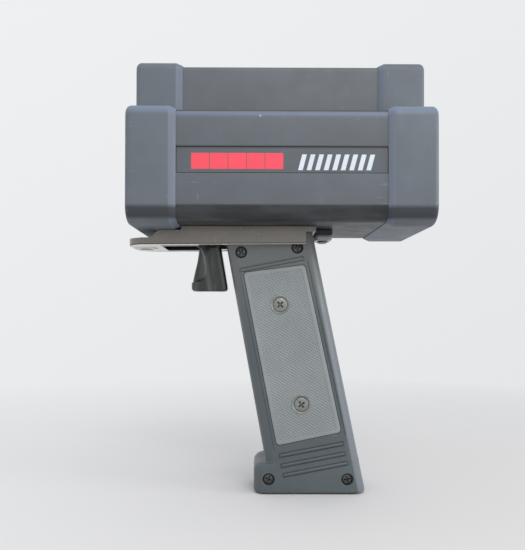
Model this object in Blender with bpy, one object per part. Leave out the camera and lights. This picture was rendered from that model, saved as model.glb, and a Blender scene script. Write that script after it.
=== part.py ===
"""Hand-held speed radar gun: a stepped aluminium housing between two bezels, on a raked pistol grip.

The frame: +Z up, the muzzle towards -X, the gun's left side towards -Y. The origin is the middle
of the grip's flat foot. Dimensions are in millimetres, and each mesh is scaled to metres when made.
"""

import math

import bmesh
import bpy
from mathutils import Matrix, Vector

MM = 0.001
GAP = 0.3  # running clearance between neighbouring pieces
ARC_STEPS = 4  # straight steps in each rounded corner
ROUND_STEPS = 16  # sides of small turned pieces
LENS_STEPS = 32

# The housing is an extrusion with an inverted-T section.
HALF_WIDTH = 52.0
BOTTOM_Z = 178.5
SHOULDER_Z = 248.4
SIGHT_HALF = 17.0
TOP_Z = 288.3
BOTTOM_RADIUS = 10.0
SHOULDER_RADIUS = 5.0
SIGHT_RADIUS = 3.5
NECK_RADIUS = 1.5
WALL = 3.0
GROOVE_Z = (208.0, 224.5)  # label groove along each side
GROOVE_DEPTH = 1.0
LABEL_THICK = 0.4

# The bezels stand proud of the extrusion and sleeve over its ends.
MUZZLE_X = -117.4
BACK_X = 77.6
BEZEL_LENGTH = 31.5
PROUD = 2.5
BEZEL_CHAMFER = 4.3
BEZEL_ROUND = 3.5
SLEEVE = 6.0
BEZEL_WALL = 4.0
BEZEL_INSET = 2.5  # from the extrusion's outline in to the bezel's cavity
GASKET = 1.2
WINDOW_OPENING = (46.0, 183.0, 243.0)  # half width, low Z, high Z
SIGHT_OPENING = (13.0, 252.5, 285.0)
PLATE = (49.0, 181.4, 245.5)  # cover plates inside the bezels
SIGHT_PLATE = (14.0, 250.0, 285.4)
PLATE_THICK = 3.0
WINDOW_THICK = 2.0
BOARD_HALF = 44.0
BOARD_THICK = 1.6

# Optics, side by side on one height.
OPTIC_Z = 213.0
RECEIVER = dict(y=22.5, sight=19.5, lens=20.6, barrel=23.0)
TRANSMITTER = dict(y=-24.0, sight=16.0, lens=17.2, barrel=19.5)
LENS_THICK = 5.0
BARREL_LENGTH = 47.0

# Control panel at the back.
DISPLAY_OPENING = (33.0, 217.0, 239.5)
KEY_SIZE = (18.0, 8.4)
KEY_YS = (-28.0, 0.0, 28.0)
KEY_ZS = (205.5, 192.5)
KEY_TRAVEL = 1.0
PLATE_SCREWS = ((-42.0, 238.5), (42.0, 238.5), (-42.0, 187.5), (42.0, 187.5))

# Bracket under the housing: a channel with a tab in front.
BRACKET_HALF = 27.0
BRACKET_Z = 166.0
BRACKET_PLATE = 4.7
WEB_Z = 174.9
TAB_X = -122.0
TAB_NOSE = 15.0
TAB_HOLE = (-112.8, 5.0)  # X of its centre and its radius
TAB_PAD = 0.6  # height of the seat round the tab's hole
BRACKET_BACK_X = 3.5
CHANNEL_HALF = 23.5
SLOT_HALF = 14.0
SLOT_X = (-99.7, -57.0)
CUTOUT_X = -59.5
CUTOUT_HALF = 21.6
BRACKET_SCREWS = ((-75.0, -18.6), (-75.0, 18.6), (-12.0, -14.0), (-12.0, 14.0))

# Grip: two shells split at Y = 0, raked back down to a forward toe.
GRIP_HALF = 21.0
GRIP_TOP_Z = 174.5
FRONT_AT = (-56.3, 167.0, 0.1836)  # X, Z and lean of the front line
REAR_AT = (3.7, 168.0, 0.205)
STRAP_X = 6.0  # how far each edge rounds in X and in Y
STRAP_Y = 8.0
TOE_X = -37.4
TOE_Z = 20.8
TOE_RADIUS = 5.4
FOOT_Z = 0.6  # the rubber foot stands this proud of the shells
CAVITY_HALF = 16.5
CAVITY_Z = (18.0, 154.0)
SPLIT = 0.15
PAD_CORNERS = ((-44.6, 147.9), (-3.5, 153.4), (20.9, 41.7), (-22.1, 32.7))
PAD_RADIUS = 2.5
PAD_PROUD = 0.6
PAD_FLOOR = 19.2
PAD_SCREWS = ((-19.9, 126.6), (-5.7, 60.1))
PAD_CUP_RADIUS = 6.15
PAD_CUP_FLOOR = 20.4
PAD_SCREW_BORE = 2.4
SHELL_SCREWS = ((-46.1, 161.7), (-8.5, 164.9), (-27.5, 10.1), (25.0, 10.1))
RIBS = (
    ((-20.1, 25.9), (22.1, 34.1)),
    ((-19.1, 19.1), (23.3, 27.5)),
    ((-17.2, 12.8), (24.5, 21.2)),
    ((-46.7, 150.3), (-4.7, 158.4)),
)
SOCKET_X = (-37.0, -29.9)
SOCKET_RADIUS = 5.5
SOCKET_Z = 10.0
RIB_WIDTH = 2.0
RIB_PROUD = 0.8

# Trigger, hung between two cheeks in front of the grip.
PIVOT = (-67.0, 0.0, 171.0)
TRIGGER_HALF = 7.5
TRIGGER_FOOT_Z = 135.7
CHEEK_HALF = 13.7
PIN_RADIUS = 1.5
PIN_HALF = 12.6
SWITCH_X = -52.5

# Quick-release button behind the grip.
LATCH_X = 10.3
LATCH_FOOT_Z = 169.9
COLLAR_HALF = (6.1, 10.0)
COLLAR_Z = 171.0

FINISHES = {
    "anodised_charcoal": ("6f747a", 0.42, 0.3),
    "moulded_charcoal": ("737a80", 0.5, 0.0),
    "painted_grip": ("6c7376", 0.45, 0.0),
    "grip_pad_grey": ("8b908e", 0.6, 0.0),
    "bracket_metal": ("6a6763", 0.45, 0.7),
    "black_plastic": ("2b2b2b", 0.35, 0.0),
    "black_rubber": ("242424", 0.75, 0.0),
    "key_rubber": ("8f9599", 0.7, 0.0),
    "glass": ("33434f", 0.05, 0.0),
    "steel": ("8c8f91", 0.35, 1.0),
    "dark_steel": ("45484a", 0.4, 0.9),
    "board_green": ("1f5a3a", 0.5, 0.0),
    "label_print": ("7a7f84", 0.5, 0.0),
    "battery_wrap": ("2c4a7a", 0.5, 0.0),
}


# ---------------------------------------------------------------- shapes


def rounded(corners, steps=ARC_STEPS):
    """Closed outline through corners (u, v, radius), each corner turned into an arc."""
    points = []
    for index, (u, v, radius) in enumerate(corners):
        here = Vector((u, v))
        back = (Vector(corners[index - 1][:2]) - here).normalized()
        ahead = (Vector(corners[(index + 1) % len(corners)][:2]) - here).normalized()
        if radius <= 0:
            points.append((u, v))
            continue
        half = back.angle(ahead) / 2
        centre = here + (back + ahead).normalized() * (radius / math.sin(half))
        start = here + back * (radius / math.tan(half)) - centre
        end = here + ahead * (radius / math.tan(half)) - centre
        first = math.atan2(start.y, start.x)
        turn = (math.atan2(end.y, end.x) - first + math.pi) % math.tau - math.pi
        for step in range(steps + 1):
            angle = first + turn * step / steps
            points.append((centre.x + radius * math.cos(angle), centre.y + radius * math.sin(angle)))
    return points


def rectangle(u0, u1, v0, v1, radius=0.0, steps=ARC_STEPS):
    return rounded([(u0, v0, radius), (u1, v0, radius), (u1, v1, radius), (u0, v1, radius)], steps)


def circle(u, v, radius, steps=ROUND_STEPS):
    angles = [math.tau * step / steps for step in range(steps)]
    return [(u + radius * math.cos(a), v + radius * math.sin(a)) for a in angles]


def across(axis, u, v, w):
    """The point at w along axis, with u and v in the plane across it."""
    return {"X": (w, u, v), "Y": (u, w, v), "Z": (u, v, w)}[axis]


def loft(rings):
    """Closed body through rings of equally many points, with flat ends."""
    bm = bmesh.new()
    loops = [[bm.verts.new(point) for point in ring] for ring in rings]
    count = len(loops[0])
    for low, high in zip(loops, loops[1:]):
        for i in range(count):
            j = (i + 1) % count
            bm.faces.new((low[i], low[j], high[j], high[i]))
    bm.faces.new(loops[0])
    bm.faces.new(loops[-1])
    return bm


def prism(outline, axis, low, high):
    return loft([[across(axis, u, v, w) for u, v in outline] for w in (low, high)])


def block(low, high, radius=0.0, axis="Z"):
    """Box from low to high, with the four edges along axis rounded."""
    order = {"X": (1, 2, 0), "Y": (0, 2, 1), "Z": (0, 1, 2)}[axis]
    u, v, w = order
    outline = rectangle(low[u], high[u], low[v], high[v], radius, 3)
    return prism(outline, axis, low[w], high[w])


def turned(profile, axis, centre, steps=ROUND_STEPS):
    """Solid of revolution. The profile (radius, height) starts and ends on the axis."""
    bm = bmesh.new()
    u0, v0 = centre
    rings = []
    for radius, height in profile:
        if radius == 0:
            rings.append([bm.verts.new(across(axis, u0, v0, height))])
        else:
            ring = circle(u0, v0, radius, steps)
            rings.append([bm.verts.new(across(axis, u, v, height)) for u, v in ring])
    for low, high in zip(rings, rings[1:]):
        for i in range(steps):
            j = (i + 1) % steps
            loop = [low[i % len(low)], low[j % len(low)], high[j % len(high)], high[i % len(high)]]
            bm.faces.new(list(dict.fromkeys(loop)))
    return bm


def tube(profile, axis, centre, steps=ROUND_STEPS):
    """Ring whose section is the closed profile of (radius, height) points, all off the axis."""
    bm = bmesh.new()
    loops = []
    for radius, height in profile:
        ring = circle(centre[0], centre[1], radius, steps)
        loops.append([bm.verts.new(across(axis, u, v, height)) for u, v in ring])
    for low, high in zip(loops, loops[1:] + loops[:1]):
        for i in range(steps):
            j = (i + 1) % steps
            bm.faces.new((low[i], low[j], high[j], high[i]))
    return bm


def section(offset=0.0, groove=False):
    """The body's inverted-T outline (Y, Z), grown outwards by offset."""
    half, sight = HALF_WIDTH + offset, SIGHT_HALF + offset
    bottom, shoulder, top = BOTTOM_Z - offset, SHOULDER_Z + offset, TOP_Z + offset
    lower, upper, crown = (max(r + offset, 1.0) for r in (BOTTOM_RADIUS, SHOULDER_RADIUS, SIGHT_RADIUS))
    neck = max(NECK_RADIUS - offset, 0.5)
    right = [(half, bottom, lower)]
    if groove:
        low, high = GROOVE_Z
        floor = half - GROOVE_DEPTH
        right += [(half, low, 0), (floor, low, 0), (floor, high, 0), (half, high, 0)]
    right += [(half, shoulder, upper), (sight, shoulder, neck), (sight, top, crown)]
    left = [(-y, z, radius) for y, z, radius in reversed(right)]
    return rounded(right + left)


# ---------------------------------------------------------------- objects


def linear(hex_colour):
    """sRGB hex to linear RGBA."""
    values = [int(hex_colour[i : i + 2], 16) / 255 for i in (0, 2, 4)]
    return [v / 12.92 if v <= 0.04045 else ((v + 0.055) / 1.055) ** 2.4 for v in values] + [1.0]


def material(finish):
    if finish in bpy.data.materials:
        return bpy.data.materials[finish]
    colour, roughness, metallic = FINISHES[finish]
    made = bpy.data.materials.new(finish)
    made.use_nodes = True
    shader = made.node_tree.nodes["Principled BSDF"]
    shader.inputs["Base Color"].default_value = linear(colour)
    shader.inputs["Roughness"].default_value = roughness
    shader.inputs["Metallic"].default_value = metallic
    return made


def add_object(name, bm, pivot=(0.0, 0.0, 0.0)):
    """Object from a mesh in millimetres, with its origin at pivot."""
    bmesh.ops.translate(bm, verts=bm.verts, vec=-Vector(pivot))
    bmesh.ops.scale(bm, verts=bm.verts, vec=(MM, MM, MM))
    bmesh.ops.recalc_face_normals(bm, faces=bm.faces)
    mesh = bpy.data.meshes.new(name)
    bm.to_mesh(mesh)
    bm.free()
    mesh.shade_smooth()
    mesh.set_sharp_from_angle(angle=math.radians(30))
    made = bpy.data.objects.new(name, mesh)
    made.location = Vector(pivot) * MM
    bpy.context.scene.collection.objects.link(made)
    return made


def piece(name, bm, finish, pivot=(0.0, 0.0, 0.0)):
    made = add_object(name, bm, pivot)
    made.data.materials.append(material(finish))
    return made


def combine(body, bm, operation):
    """Adds or cuts a shape by a Boolean, with the shape kept as a hidden helper."""
    helper = add_object(f"{body.name}_helper_{len(body.modifiers) + 1}", bm)
    helper.hide_render = True
    helper.display_type = "WIRE"
    modifier = body.modifiers.new(f"{operation.lower()}_{len(body.modifiers) + 1}", "BOOLEAN")
    modifier.operation = operation
    modifier.solver = "EXACT"
    modifier.object = helper


def cut(body, *shapes):
    for shape in shapes:
        combine(body, shape, "DIFFERENCE")


def fuse(body, *shapes):
    for shape in shapes:
        combine(body, shape, "UNION")


# ---------------------------------------------------------------- housing and bezels


def make_housing():
    seam_front, seam_back = MUZZLE_X + BEZEL_LENGTH, BACK_X - BEZEL_LENGTH
    low, high = seam_front - SLEEVE, seam_back + SLEEVE
    housing = piece("main_housing", prism(section(groove=True), "X", low, high), "anodised_charcoal")
    cut(housing, prism(section(-WALL), "X", low - 1, high + 1))
    for x, y in BRACKET_SCREWS:
        cut(housing, prism(circle(x, y, 1.9, 12), "Z", BOTTOM_Z - 1, BOTTOM_Z + WALL + 1))
    for side, word in ((-1, "left"), (1, "right")):
        floor = side * (HALF_WIDTH - GROOVE_DEPTH + GAP)
        face = floor + side * LABEL_THICK
        outline = rectangle(seam_front + GAP, seam_back - GAP, GROOVE_Z[0] + GAP, GROOVE_Z[1] - GAP)
        label = prism(outline, "Y", min(floor, face), max(floor, face))
        piece(f"side_label_{word}", label, "label_print")


def make_bezel(name, end, inward):
    """Moulded end cap: end is its outer face, and inward is +1 or -1 along X from there."""
    seam = end + inward * BEZEL_LENGTH
    stations = [(seam, GAP), (seam - inward * BEZEL_CHAMFER, PROUD)]
    for step in range(ARC_STEPS + 1):
        angle = math.pi / 2 * step / ARC_STEPS
        reach = BEZEL_ROUND * (1 - math.sin(angle))
        stations.append((end + inward * reach, PROUD - BEZEL_ROUND * (1 - math.cos(angle))))
    rings = [[(x, y, z) for y, z in section(offset)] for x, offset in stations]
    bezel = piece(name, loft(rings), "moulded_charcoal")
    step_x = seam - inward * (SLEEVE + GASKET + 2 * GAP)
    wall_x = end + inward * BEZEL_WALL
    cut(
        bezel,
        prism(section(GAP), "X", *sorted((seam + inward, step_x))),
        prism(section(-BEZEL_INSET), "X", *sorted((seam, wall_x))),
    )
    for half, low, high in (WINDOW_OPENING, SIGHT_OPENING):
        outline = rectangle(-half, half, low, high, 4.0)
        cut(bezel, prism(outline, "X", *sorted((end - inward, wall_x + inward))))
    return bezel


def make_gasket(name, near, far):
    gasket = piece(name, prism(section(), "X", *sorted((near, far))), "black_rubber")
    cut(gasket, prism(section(-BEZEL_INSET), "X", min(near, far) - 1, max(near, far) + 1))


def make_bezels():
    make_bezel("front_bezel", MUZZLE_X, 1)
    make_bezel("rear_bezel", BACK_X, -1)
    front_end = MUZZLE_X + BEZEL_LENGTH - SLEEVE
    back_end = BACK_X - BEZEL_LENGTH + SLEEVE
    make_gasket("front_gasket", front_end - GAP, front_end - GAP - GASKET)
    make_gasket("rear_gasket", back_end + GAP, back_end + GAP + GASKET)


def cover_plate(half, low, high, near, far, radius=3.0):
    return prism(rectangle(-half, half, low, high, radius), "X", *sorted((near, far)))


# ---------------------------------------------------------------- optics and sight


def make_optics():
    face = MUZZLE_X + BEZEL_WALL + GAP
    back = face + PLATE_THICK
    plate = piece("lens_plate", cover_plate(*PLATE, face, back, 6.0), "black_plastic")
    for optic in (RECEIVER, TRANSMITTER):
        cut(plate, prism(circle(optic["y"], OPTIC_Z, optic["sight"], LENS_STEPS), "X", face - 1, back + 1))
    make_optic("receive", RECEIVER, back + GAP)
    make_optic("transmit", TRANSMITTER, back + GAP)


def make_optic(word, optic, start):
    """One lens in its barrel, behind the lens plate."""
    centre = (optic["y"], OPTIC_Z)
    seat = start + 1.0 + LENS_THICK
    end = start + BARREL_LENGTH
    outer, wide, narrow = optic["barrel"], optic["lens"] + GAP, optic["sight"] - 1.0
    profile = [(outer, start), (outer, end), (narrow, end)]
    profile += [(narrow, seat + GAP), (wide, seat + GAP), (wide, start)]
    piece(f"{word}_barrel", tube(profile, "X", centre, LENS_STEPS), "black_plastic")
    dome = [(optic["lens"] * math.sin(math.radians(a)), a) for a in (0, 30, 55)]
    depth = [(r, start + 0.8 + 2.2 * (1 - math.cos(math.radians(a)))) for r, a in dome]
    profile = depth + [(optic["lens"], start + 3.0), (optic["lens"], seat), (0, seat)]
    piece(f"{word}_lens", turned(profile, "X", centre, LENS_STEPS), "glass")


def make_modules():
    """Detector, laser, sight optics and main board inside the housing."""
    barrel_end = MUZZLE_X + BEZEL_WALL + PLATE_THICK + 2 * GAP + BARREL_LENGTH
    for name, optic, size in (("detector_module", RECEIVER, 15.0), ("laser_module", TRANSMITTER, 12.0)):
        low = (barrel_end + GAP, optic["y"] - size, OPTIC_Z - size)
        high = (barrel_end + 17.0, optic["y"] + size, OPTIC_Z + size)
        piece(name, block(low, high, 2.0, "X"), "dark_steel")
    board = block((-44.0, -BOARD_HALF, 186.0), (50.0, BOARD_HALF, 186.0 + BOARD_THICK), 2.0)
    piece("main_board", board, "board_green")
    emitter = piece("sight_emitter", block((-35.0, -30.0, 241.0), (-5.0, 30.0, 245.1), 2.0), "black_plastic")
    fuse(emitter, block((-26.0, -9.0, 244.0), (-14.0, 9.0, 252.0), 1.0))
    combiner = block((-18.0, -13.0, -1.0), (18.0, 13.0, 1.0), 2.0)
    turn = Matrix.Translation((-20.0, 0.0, 268.0)) @ Matrix.Rotation(math.radians(-45), 4, "Y")
    bmesh.ops.transform(combiner, matrix=turn, verts=combiner.verts)
    piece("sight_combiner", combiner, "glass")


def make_sight_windows():
    front = MUZZLE_X + BEZEL_WALL + GAP
    back = BACK_X - BEZEL_WALL - GAP
    piece("sight_front_window", cover_plate(*SIGHT_PLATE, front, front + WINDOW_THICK), "glass")
    piece("sight_rear_window", cover_plate(*SIGHT_PLATE, back, back - WINDOW_THICK), "glass")


# ---------------------------------------------------------------- control panel


def make_rear_panel():
    face = BACK_X - BEZEL_WALL - GAP
    back = face - PLATE_THICK
    plate = piece("rear_plate", cover_plate(*PLATE, face, back, 6.0), "black_plastic")
    half, low, high = DISPLAY_OPENING
    cut(plate, prism(rectangle(-half, half, low, high, 3.0), "X", back - 1, face + 1))
    window = rectangle(-half + GAP, half - GAP, low + GAP, high - GAP, 2.7)
    piece("display_window", prism(window, "X", back + 0.6, face + 0.4), "glass")
    board_low, board_high = (back - 4.0 - BOARD_THICK, -BOARD_HALF, 184.0), (back - 4.0, BOARD_HALF, 243.0)
    board = piece("control_board", block(board_low, board_high, 1.0, "X"), "board_green")
    module_low, module_high = (back - 4.5, -36.0, 213.0), (back - GAP, 36.0, 242.0)
    fuse(board, block(module_low, module_high, 1.0, "X"))
    centres = [(y, z) for z in KEY_ZS for y in KEY_YS]
    for number, (y, z) in enumerate(centres, 1):
        wide, tall = (side / 2 for side in KEY_SIZE)
        hole = rectangle(y - wide - 0.4, y + wide + 0.4, z - tall - 0.4, z + tall + 0.4, 2.4)
        cut(plate, prism(hole, "X", back - 1, face + 1))
        make_key(f"key_{number}", y, z, face, back)
    for number, (y, z) in enumerate(PLATE_SCREWS, 1):
        cut(plate, prism(circle(y, z, 1.7, 12), "X", back - 1, face + 1))
        profile = [(0, face + 2.1), (1.6, face + 1.9), (2.6, face + GAP), (1.3, face + GAP)]
        profile += [(1.3, face - 6.4), (0, face - 6.4)]
        piece(f"rear_plate_screw_{number}", turned(profile, "X", (y, z)), "steel")


def make_key(name, y, z, face, back):
    """Rubber key with a flange behind the plate. Its origin is on the line it slides along."""
    wide, tall = (side / 2 for side in KEY_SIZE)
    stations = (
        (back - 1.6, 1.0),
        (back - 0.4, 1.0),
        (back - 0.4, 0.0),
        (face + 1.2, 0.0),
        (face + 1.8, -0.8),
    )
    rings = []
    for x, grow in stations:
        outline = rectangle(y - wide - grow, y + wide + grow, z - tall - grow, z + tall + grow, 2.0)
        rings.append([(x, u, v) for u, v in outline])
    key = piece(name, loft(rings), "key_rubber", (face, y, z))
    post = [(0, back - 2.4), (2.0, back - 2.4), (2.0, back - 1.0), (0, back - 1.0)]
    fuse(key, turned(post, "X", (y, z), 12))


# ---------------------------------------------------------------- bracket


def make_bracket():
    """Channel with a web against the housing, side walls, bottom lips and a front tab."""
    under_bezel = BOTTOM_Z - PROUD - GAP
    under_housing = BOTTOM_Z - GAP
    seam = MUZZLE_X + BEZEL_LENGTH + GAP
    plate_top = BRACKET_Z + BRACKET_PLATE
    side_view = [
        (-112.0, BRACKET_Z),
        (-112.0, plate_top),
        (-105.3, plate_top),
        (-100.6, under_bezel),
        (seam, under_bezel),
        (seam, under_housing),
        (BRACKET_BACK_X, under_housing),
        (BRACKET_BACK_X, WEB_Z),
        (-3.1, WEB_Z),
        (-3.1, BRACKET_Z),
    ]
    channel = prism(side_view, "Y", -BRACKET_HALF, BRACKET_HALF)
    bracket = piece("handle_bracket", channel, "bracket_metal")
    nose = [
        (TAB_X, -BRACKET_HALF, TAB_NOSE),
        (-106.0, -BRACKET_HALF, 0),
        (-106.0, BRACKET_HALF, 0),
        (TAB_X, BRACKET_HALF, TAB_NOSE),
    ]
    hole_x, hole_radius = TAB_HOLE
    fuse(bracket, prism(rounded(nose), "Z", BRACKET_Z, plate_top))
    fuse(bracket, prism(circle(hole_x, 0, 8.0, LENS_STEPS), "Z", BRACKET_Z - TAB_PAD, BRACKET_Z + 1))
    cut(
        bracket,
        prism(circle(hole_x, 0, hole_radius, LENS_STEPS), "Z", BRACKET_Z - 5, plate_top + 5),
        block((-97.0, -CHANNEL_HALF, plate_top), (0.0, CHANNEL_HALF, WEB_Z)),
        block((SLOT_X[0], -SLOT_HALF, 160.0), (SLOT_X[1], SLOT_HALF, WEB_Z - 0.01), 3.0),
        block((SLOT_X[0], -SLOT_HALF, 172.0), (seam - 2.0, SLOT_HALF, 180.0), 3.0),
        block((CUTOUT_X, -CUTOUT_HALF, 160.0), (0.0, CUTOUT_HALF, plate_top + 1)),
    )
    for number, (x, y) in enumerate(BRACKET_SCREWS, 1):
        sink = [(0, 174.0), (4.3, 174.0), (1.9, 177.0), (1.9, 180.0), (0, 180.0)]
        cut(bracket, turned(sink, "Z", (x, y), 16))
        screw = [(0, 175.3), (2.9, 175.3), (1.5, 176.9), (1.5, 183.5), (0, 183.5)]
        piece(f"bracket_screw_{number}", turned(screw, "Z", (x, y), 16), "steel")


# ---------------------------------------------------------------- grip


def front_x(z):
    x0, z0, lean = FRONT_AT
    return x0 + (z0 - z) * lean


def rear_x(z):
    x0, z0, lean = REAR_AT
    return x0 + (z0 - z) * lean


def half_ring(z, front, rear, half, side, near, corner=(STRAP_X, STRAP_Y)):
    """Half of a rounded rectangle at height z, from the split line round one side and back."""
    run, rise = corner
    points = [(front, side * near, z)]
    for step in range(ARC_STEPS + 2):
        angle = math.pi / 2 * step / (ARC_STEPS + 1)
        x = front + run * (1 - math.cos(angle))
        points.append((x, side * (half - rise * (1 - math.sin(angle))), z))
    for step in range(ARC_STEPS + 2):
        angle = math.pi / 2 * step / (ARC_STEPS + 1)
        x = rear - run * (1 - math.sin(angle))
        points.append((x, side * (half - rise * (1 - math.cos(angle))), z))
    points.append((rear, side * near, z))
    return points


def grip_stations():
    """(z, front, rear, half width) from the foot up."""
    stations = [(FOOT_Z, TOE_X + 1.8, rear_x(0) - 3.6, GRIP_HALF - 1.5)]
    stations.append((FOOT_Z + 1.6, TOE_X, rear_x(2.2) - 1.0, GRIP_HALF))
    stations.append((5.5, TOE_X, rear_x(5.5), GRIP_HALF))
    for step in range(ARC_STEPS):
        angle = math.pi / 2 * step / (ARC_STEPS - 1)
        z = TOE_Z - TOE_RADIUS * (1 - math.sin(angle))
        stations.append((z, TOE_X + TOE_RADIUS * (1 - math.cos(angle)), rear_x(z), GRIP_HALF))
    stations.append((TOE_Z + 0.6, front_x(TOE_Z) - 0.3, rear_x(TOE_Z), GRIP_HALF))
    stations += [(z, front_x(z), rear_x(z), GRIP_HALF) for z in (24.0, GRIP_TOP_Z)]
    return stations


def rib_shape(start, end, side):
    """One raised bar along the grip's side."""
    a, b = Vector(start), Vector(end)
    along = (b - a).normalized()
    over = Vector((-along.y, along.x)) * RIB_WIDTH / 2
    corners = [a - over, b - over, b + over, a + over]
    outline = rounded([(c.x, c.y, RIB_WIDTH * 0.45) for c in corners], 2)
    return prism(outline, "Y", *sorted((side * (GRIP_HALF - 1.5), side * (GRIP_HALF + RIB_PROUD))))


def make_shell(side, word):
    rings = [half_ring(z, front, rear, half, side, SPLIT) for z, front, rear, half in grip_stations()]
    shell = piece(f"handle_shell_{word}", loft(rings), "painted_grip")
    hollow = [
        half_ring(z, front_x(z) + 4.0, rear_x(z) - 4.0, CAVITY_HALF, side, -1.0, (4.0, 5.0))
        for z in CAVITY_Z
    ]
    pad_hole = [(x, z, PAD_RADIUS) for x, z in grown_pad(GAP)]
    cut(shell, loft(hollow))
    cut(shell, prism(rounded(pad_hole, 3), "Y", *sorted((side * PAD_FLOOR, side * (GRIP_HALF + 2)))))
    cut(shell, prism(foot_outline(GAP), "Z", -1.0, 2.6))
    cheek_low = (-80.0, min(side * CHEEK_HALF, side * 7.9), 168.0)
    cheek_high = (-50.0, max(side * CHEEK_HALF, side * 7.9), GRIP_TOP_Z)
    fuse(shell, block(cheek_low, cheek_high, 2.0, "Y"))
    for start, end in RIBS:
        fuse(shell, rib_shape(start, end, side))
    pivot_x, _, pivot_z = PIVOT
    bore = circle(pivot_x, pivot_z, PIN_RADIUS + GAP, 16)
    cut(shell, prism(bore, "Y", *sorted((0, side * (PIN_HALF + 0.4)))))
    cut(shell, block((-64.0, -5.3, 164.9), (SWITCH_X + 5.8, 5.3, 176.0)))
    socket_x, socket_end, socket_radius = SOCKET_X[0] - 7.0, SOCKET_X[1] + GAP, SOCKET_RADIUS + GAP
    socket = [(0, socket_x), (socket_radius, socket_x), (socket_radius, socket_end), (0, socket_end)]
    cut(shell, turned(socket, "X", (0.0, SOCKET_Z)))
    for x, z in PAD_SCREWS:
        bore = circle(x, z, PAD_SCREW_BORE, 12)
        cut(shell, prism(bore, "Y", *sorted((side * (CAVITY_HALF - 1.5), side * (PAD_FLOOR + 0.8)))))
    for x, z in SHELL_SCREWS:
        cut_shell_screw(shell, x, z, side)
    return shell


def cut_shell_screw(shell, x, z, side):
    """Clearance and counterbore on the left shell, and a blind thread on the right one."""
    if side < 0:
        profile = [(0, 1.0), (1.8, 1.0), (1.8, -17.6), (4.0, -17.6), (4.0, -23.0), (0, -23.0)]
    else:
        profile = [(0, -1.0), (1.8, -1.0), (1.8, 10.6), (0, 10.6)]
    cut(shell, turned(profile, "Y", (x, z), 16))


def grown_pad(grow):
    """The pad's corners moved outwards by grow."""
    corners = [Vector(corner) for corner in PAD_CORNERS]
    centre = sum(corners, Vector((0.0, 0.0))) / len(corners)
    return [tuple(c + (c - centre).normalized() * grow * 1.4) for c in corners]


def foot_outline(grow=0.0):
    return rectangle(-32.0 - grow, 31.0 + grow, -16.0 - grow, 16.0 + grow, 5.0 + grow)


def make_pad(side, word):
    outline = rounded([(x, z, PAD_RADIUS) for x, z in PAD_CORNERS], 3)
    face = GRIP_HALF + PAD_PROUD
    low, high = sorted((side * (PAD_FLOOR + GAP), side * face))
    pad = piece(f"grip_pad_{word}", prism(outline, "Y", low, high), "grip_pad_grey")
    for number, (x, z) in enumerate(PAD_SCREWS, 1):
        cup = circle(x, z, PAD_CUP_RADIUS)
        cut(pad, prism(cup, "Y", *sorted((side * PAD_CUP_FLOOR, side * (face + 1)))))
        bore = circle(x, z, PAD_SCREW_BORE, 12)
        cut(pad, prism(bore, "Y", *sorted((side * (PAD_FLOOR - 1), side * (PAD_CUP_FLOOR + 0.6)))))
        head = [(0, 22.1), (2.4, 22.0), (4.0, 21.6), (4.6, 20.7), (2.0, 20.7), (2.0, 15.2), (0, 15.2)]
        profile = [(radius, side * height) for radius, height in head]
        piece(f"grip_screw_{word}_{number}", turned(profile, "Y", (x, z)), "steel")


def make_grip():
    for side, word in ((-1, "left"), (1, "right")):
        make_shell(side, word)
        make_pad(side, word)
    for number, (x, z) in enumerate(SHELL_SCREWS, 1):
        profile = [(0, -20.2), (2.0, -20.1), (3.2, -19.2), (3.2, -17.9), (1.5, -17.9), (1.5, 10.0), (0, 10.0)]
        piece(f"handle_screw_{number}", turned(profile, "Y", (x, z), 16), "dark_steel")
    piece("foot_pad", prism(foot_outline(), "Z", 0.0, 2.3), "black_rubber")
    make_battery()
    low, high = SOCKET_X
    profile = [(0, high), (SOCKET_RADIUS, high), (SOCKET_RADIUS, low), (3.8, low), (3.8, -31.5), (0, -31.5)]
    piece("power_socket", turned(profile, "X", (0.0, SOCKET_Z)), "black_plastic")


def make_battery():
    """Cell pack in the grip, leaning back with it."""
    rings = []
    for z in (22.0, 138.0):
        outline = rectangle(front_x(z) + 6.0, rear_x(z) - 6.0, -14.0, 14.0, 6.0)
        rings.append([(x, y, z) for x, y in outline])
    piece("battery_pack", loft(rings), "battery_wrap")


# ---------------------------------------------------------------- trigger


def make_trigger():
    pivot_x, _, pivot_z = PIVOT
    side_view = rounded(
        [
            (-76.0, 167.0, 6.0),
            (-76.4, 157.0, 16.0),
            (-79.0, 147.5, 12.0),
            (-81.2, 139.8, 2.0),
            (-80.9, TRIGGER_FOOT_Z, 2.6),
            (-55.5, TRIGGER_FOOT_Z, 3.0),
            (-60.6, 166.0, 4.0),
            (-62.6, 174.2, 3.2),
            (-71.4, 174.2, 3.2),
        ]
    )
    trigger = prism(side_view, "Y", -TRIGGER_HALF, TRIGGER_HALF)
    trigger = piece("trigger", trigger, "black_plastic", PIVOT)
    fuse(trigger, block((-66.0, -4.0, 165.2), (-50.0, 4.0, 168.2)))
    cut(
        trigger,
        prism(circle(pivot_x, pivot_z, PIN_RADIUS + GAP, 16), "Y", -9, 9),
        prism(circle(pivot_x, pivot_z, 4.6, 16), "Y", 4.5, 9),
    )
    pin = [(0, -PIN_HALF), (PIN_RADIUS, -PIN_HALF), (PIN_RADIUS, PIN_HALF), (0, PIN_HALF)]
    piece("trigger_pin", turned(pin, "Y", (pivot_x, pivot_z), 16), "steel")
    make_coil("trigger_spring", "Y", PIVOT, 2.6, 0.35, (5.2, 7.1), 2.5)


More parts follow.
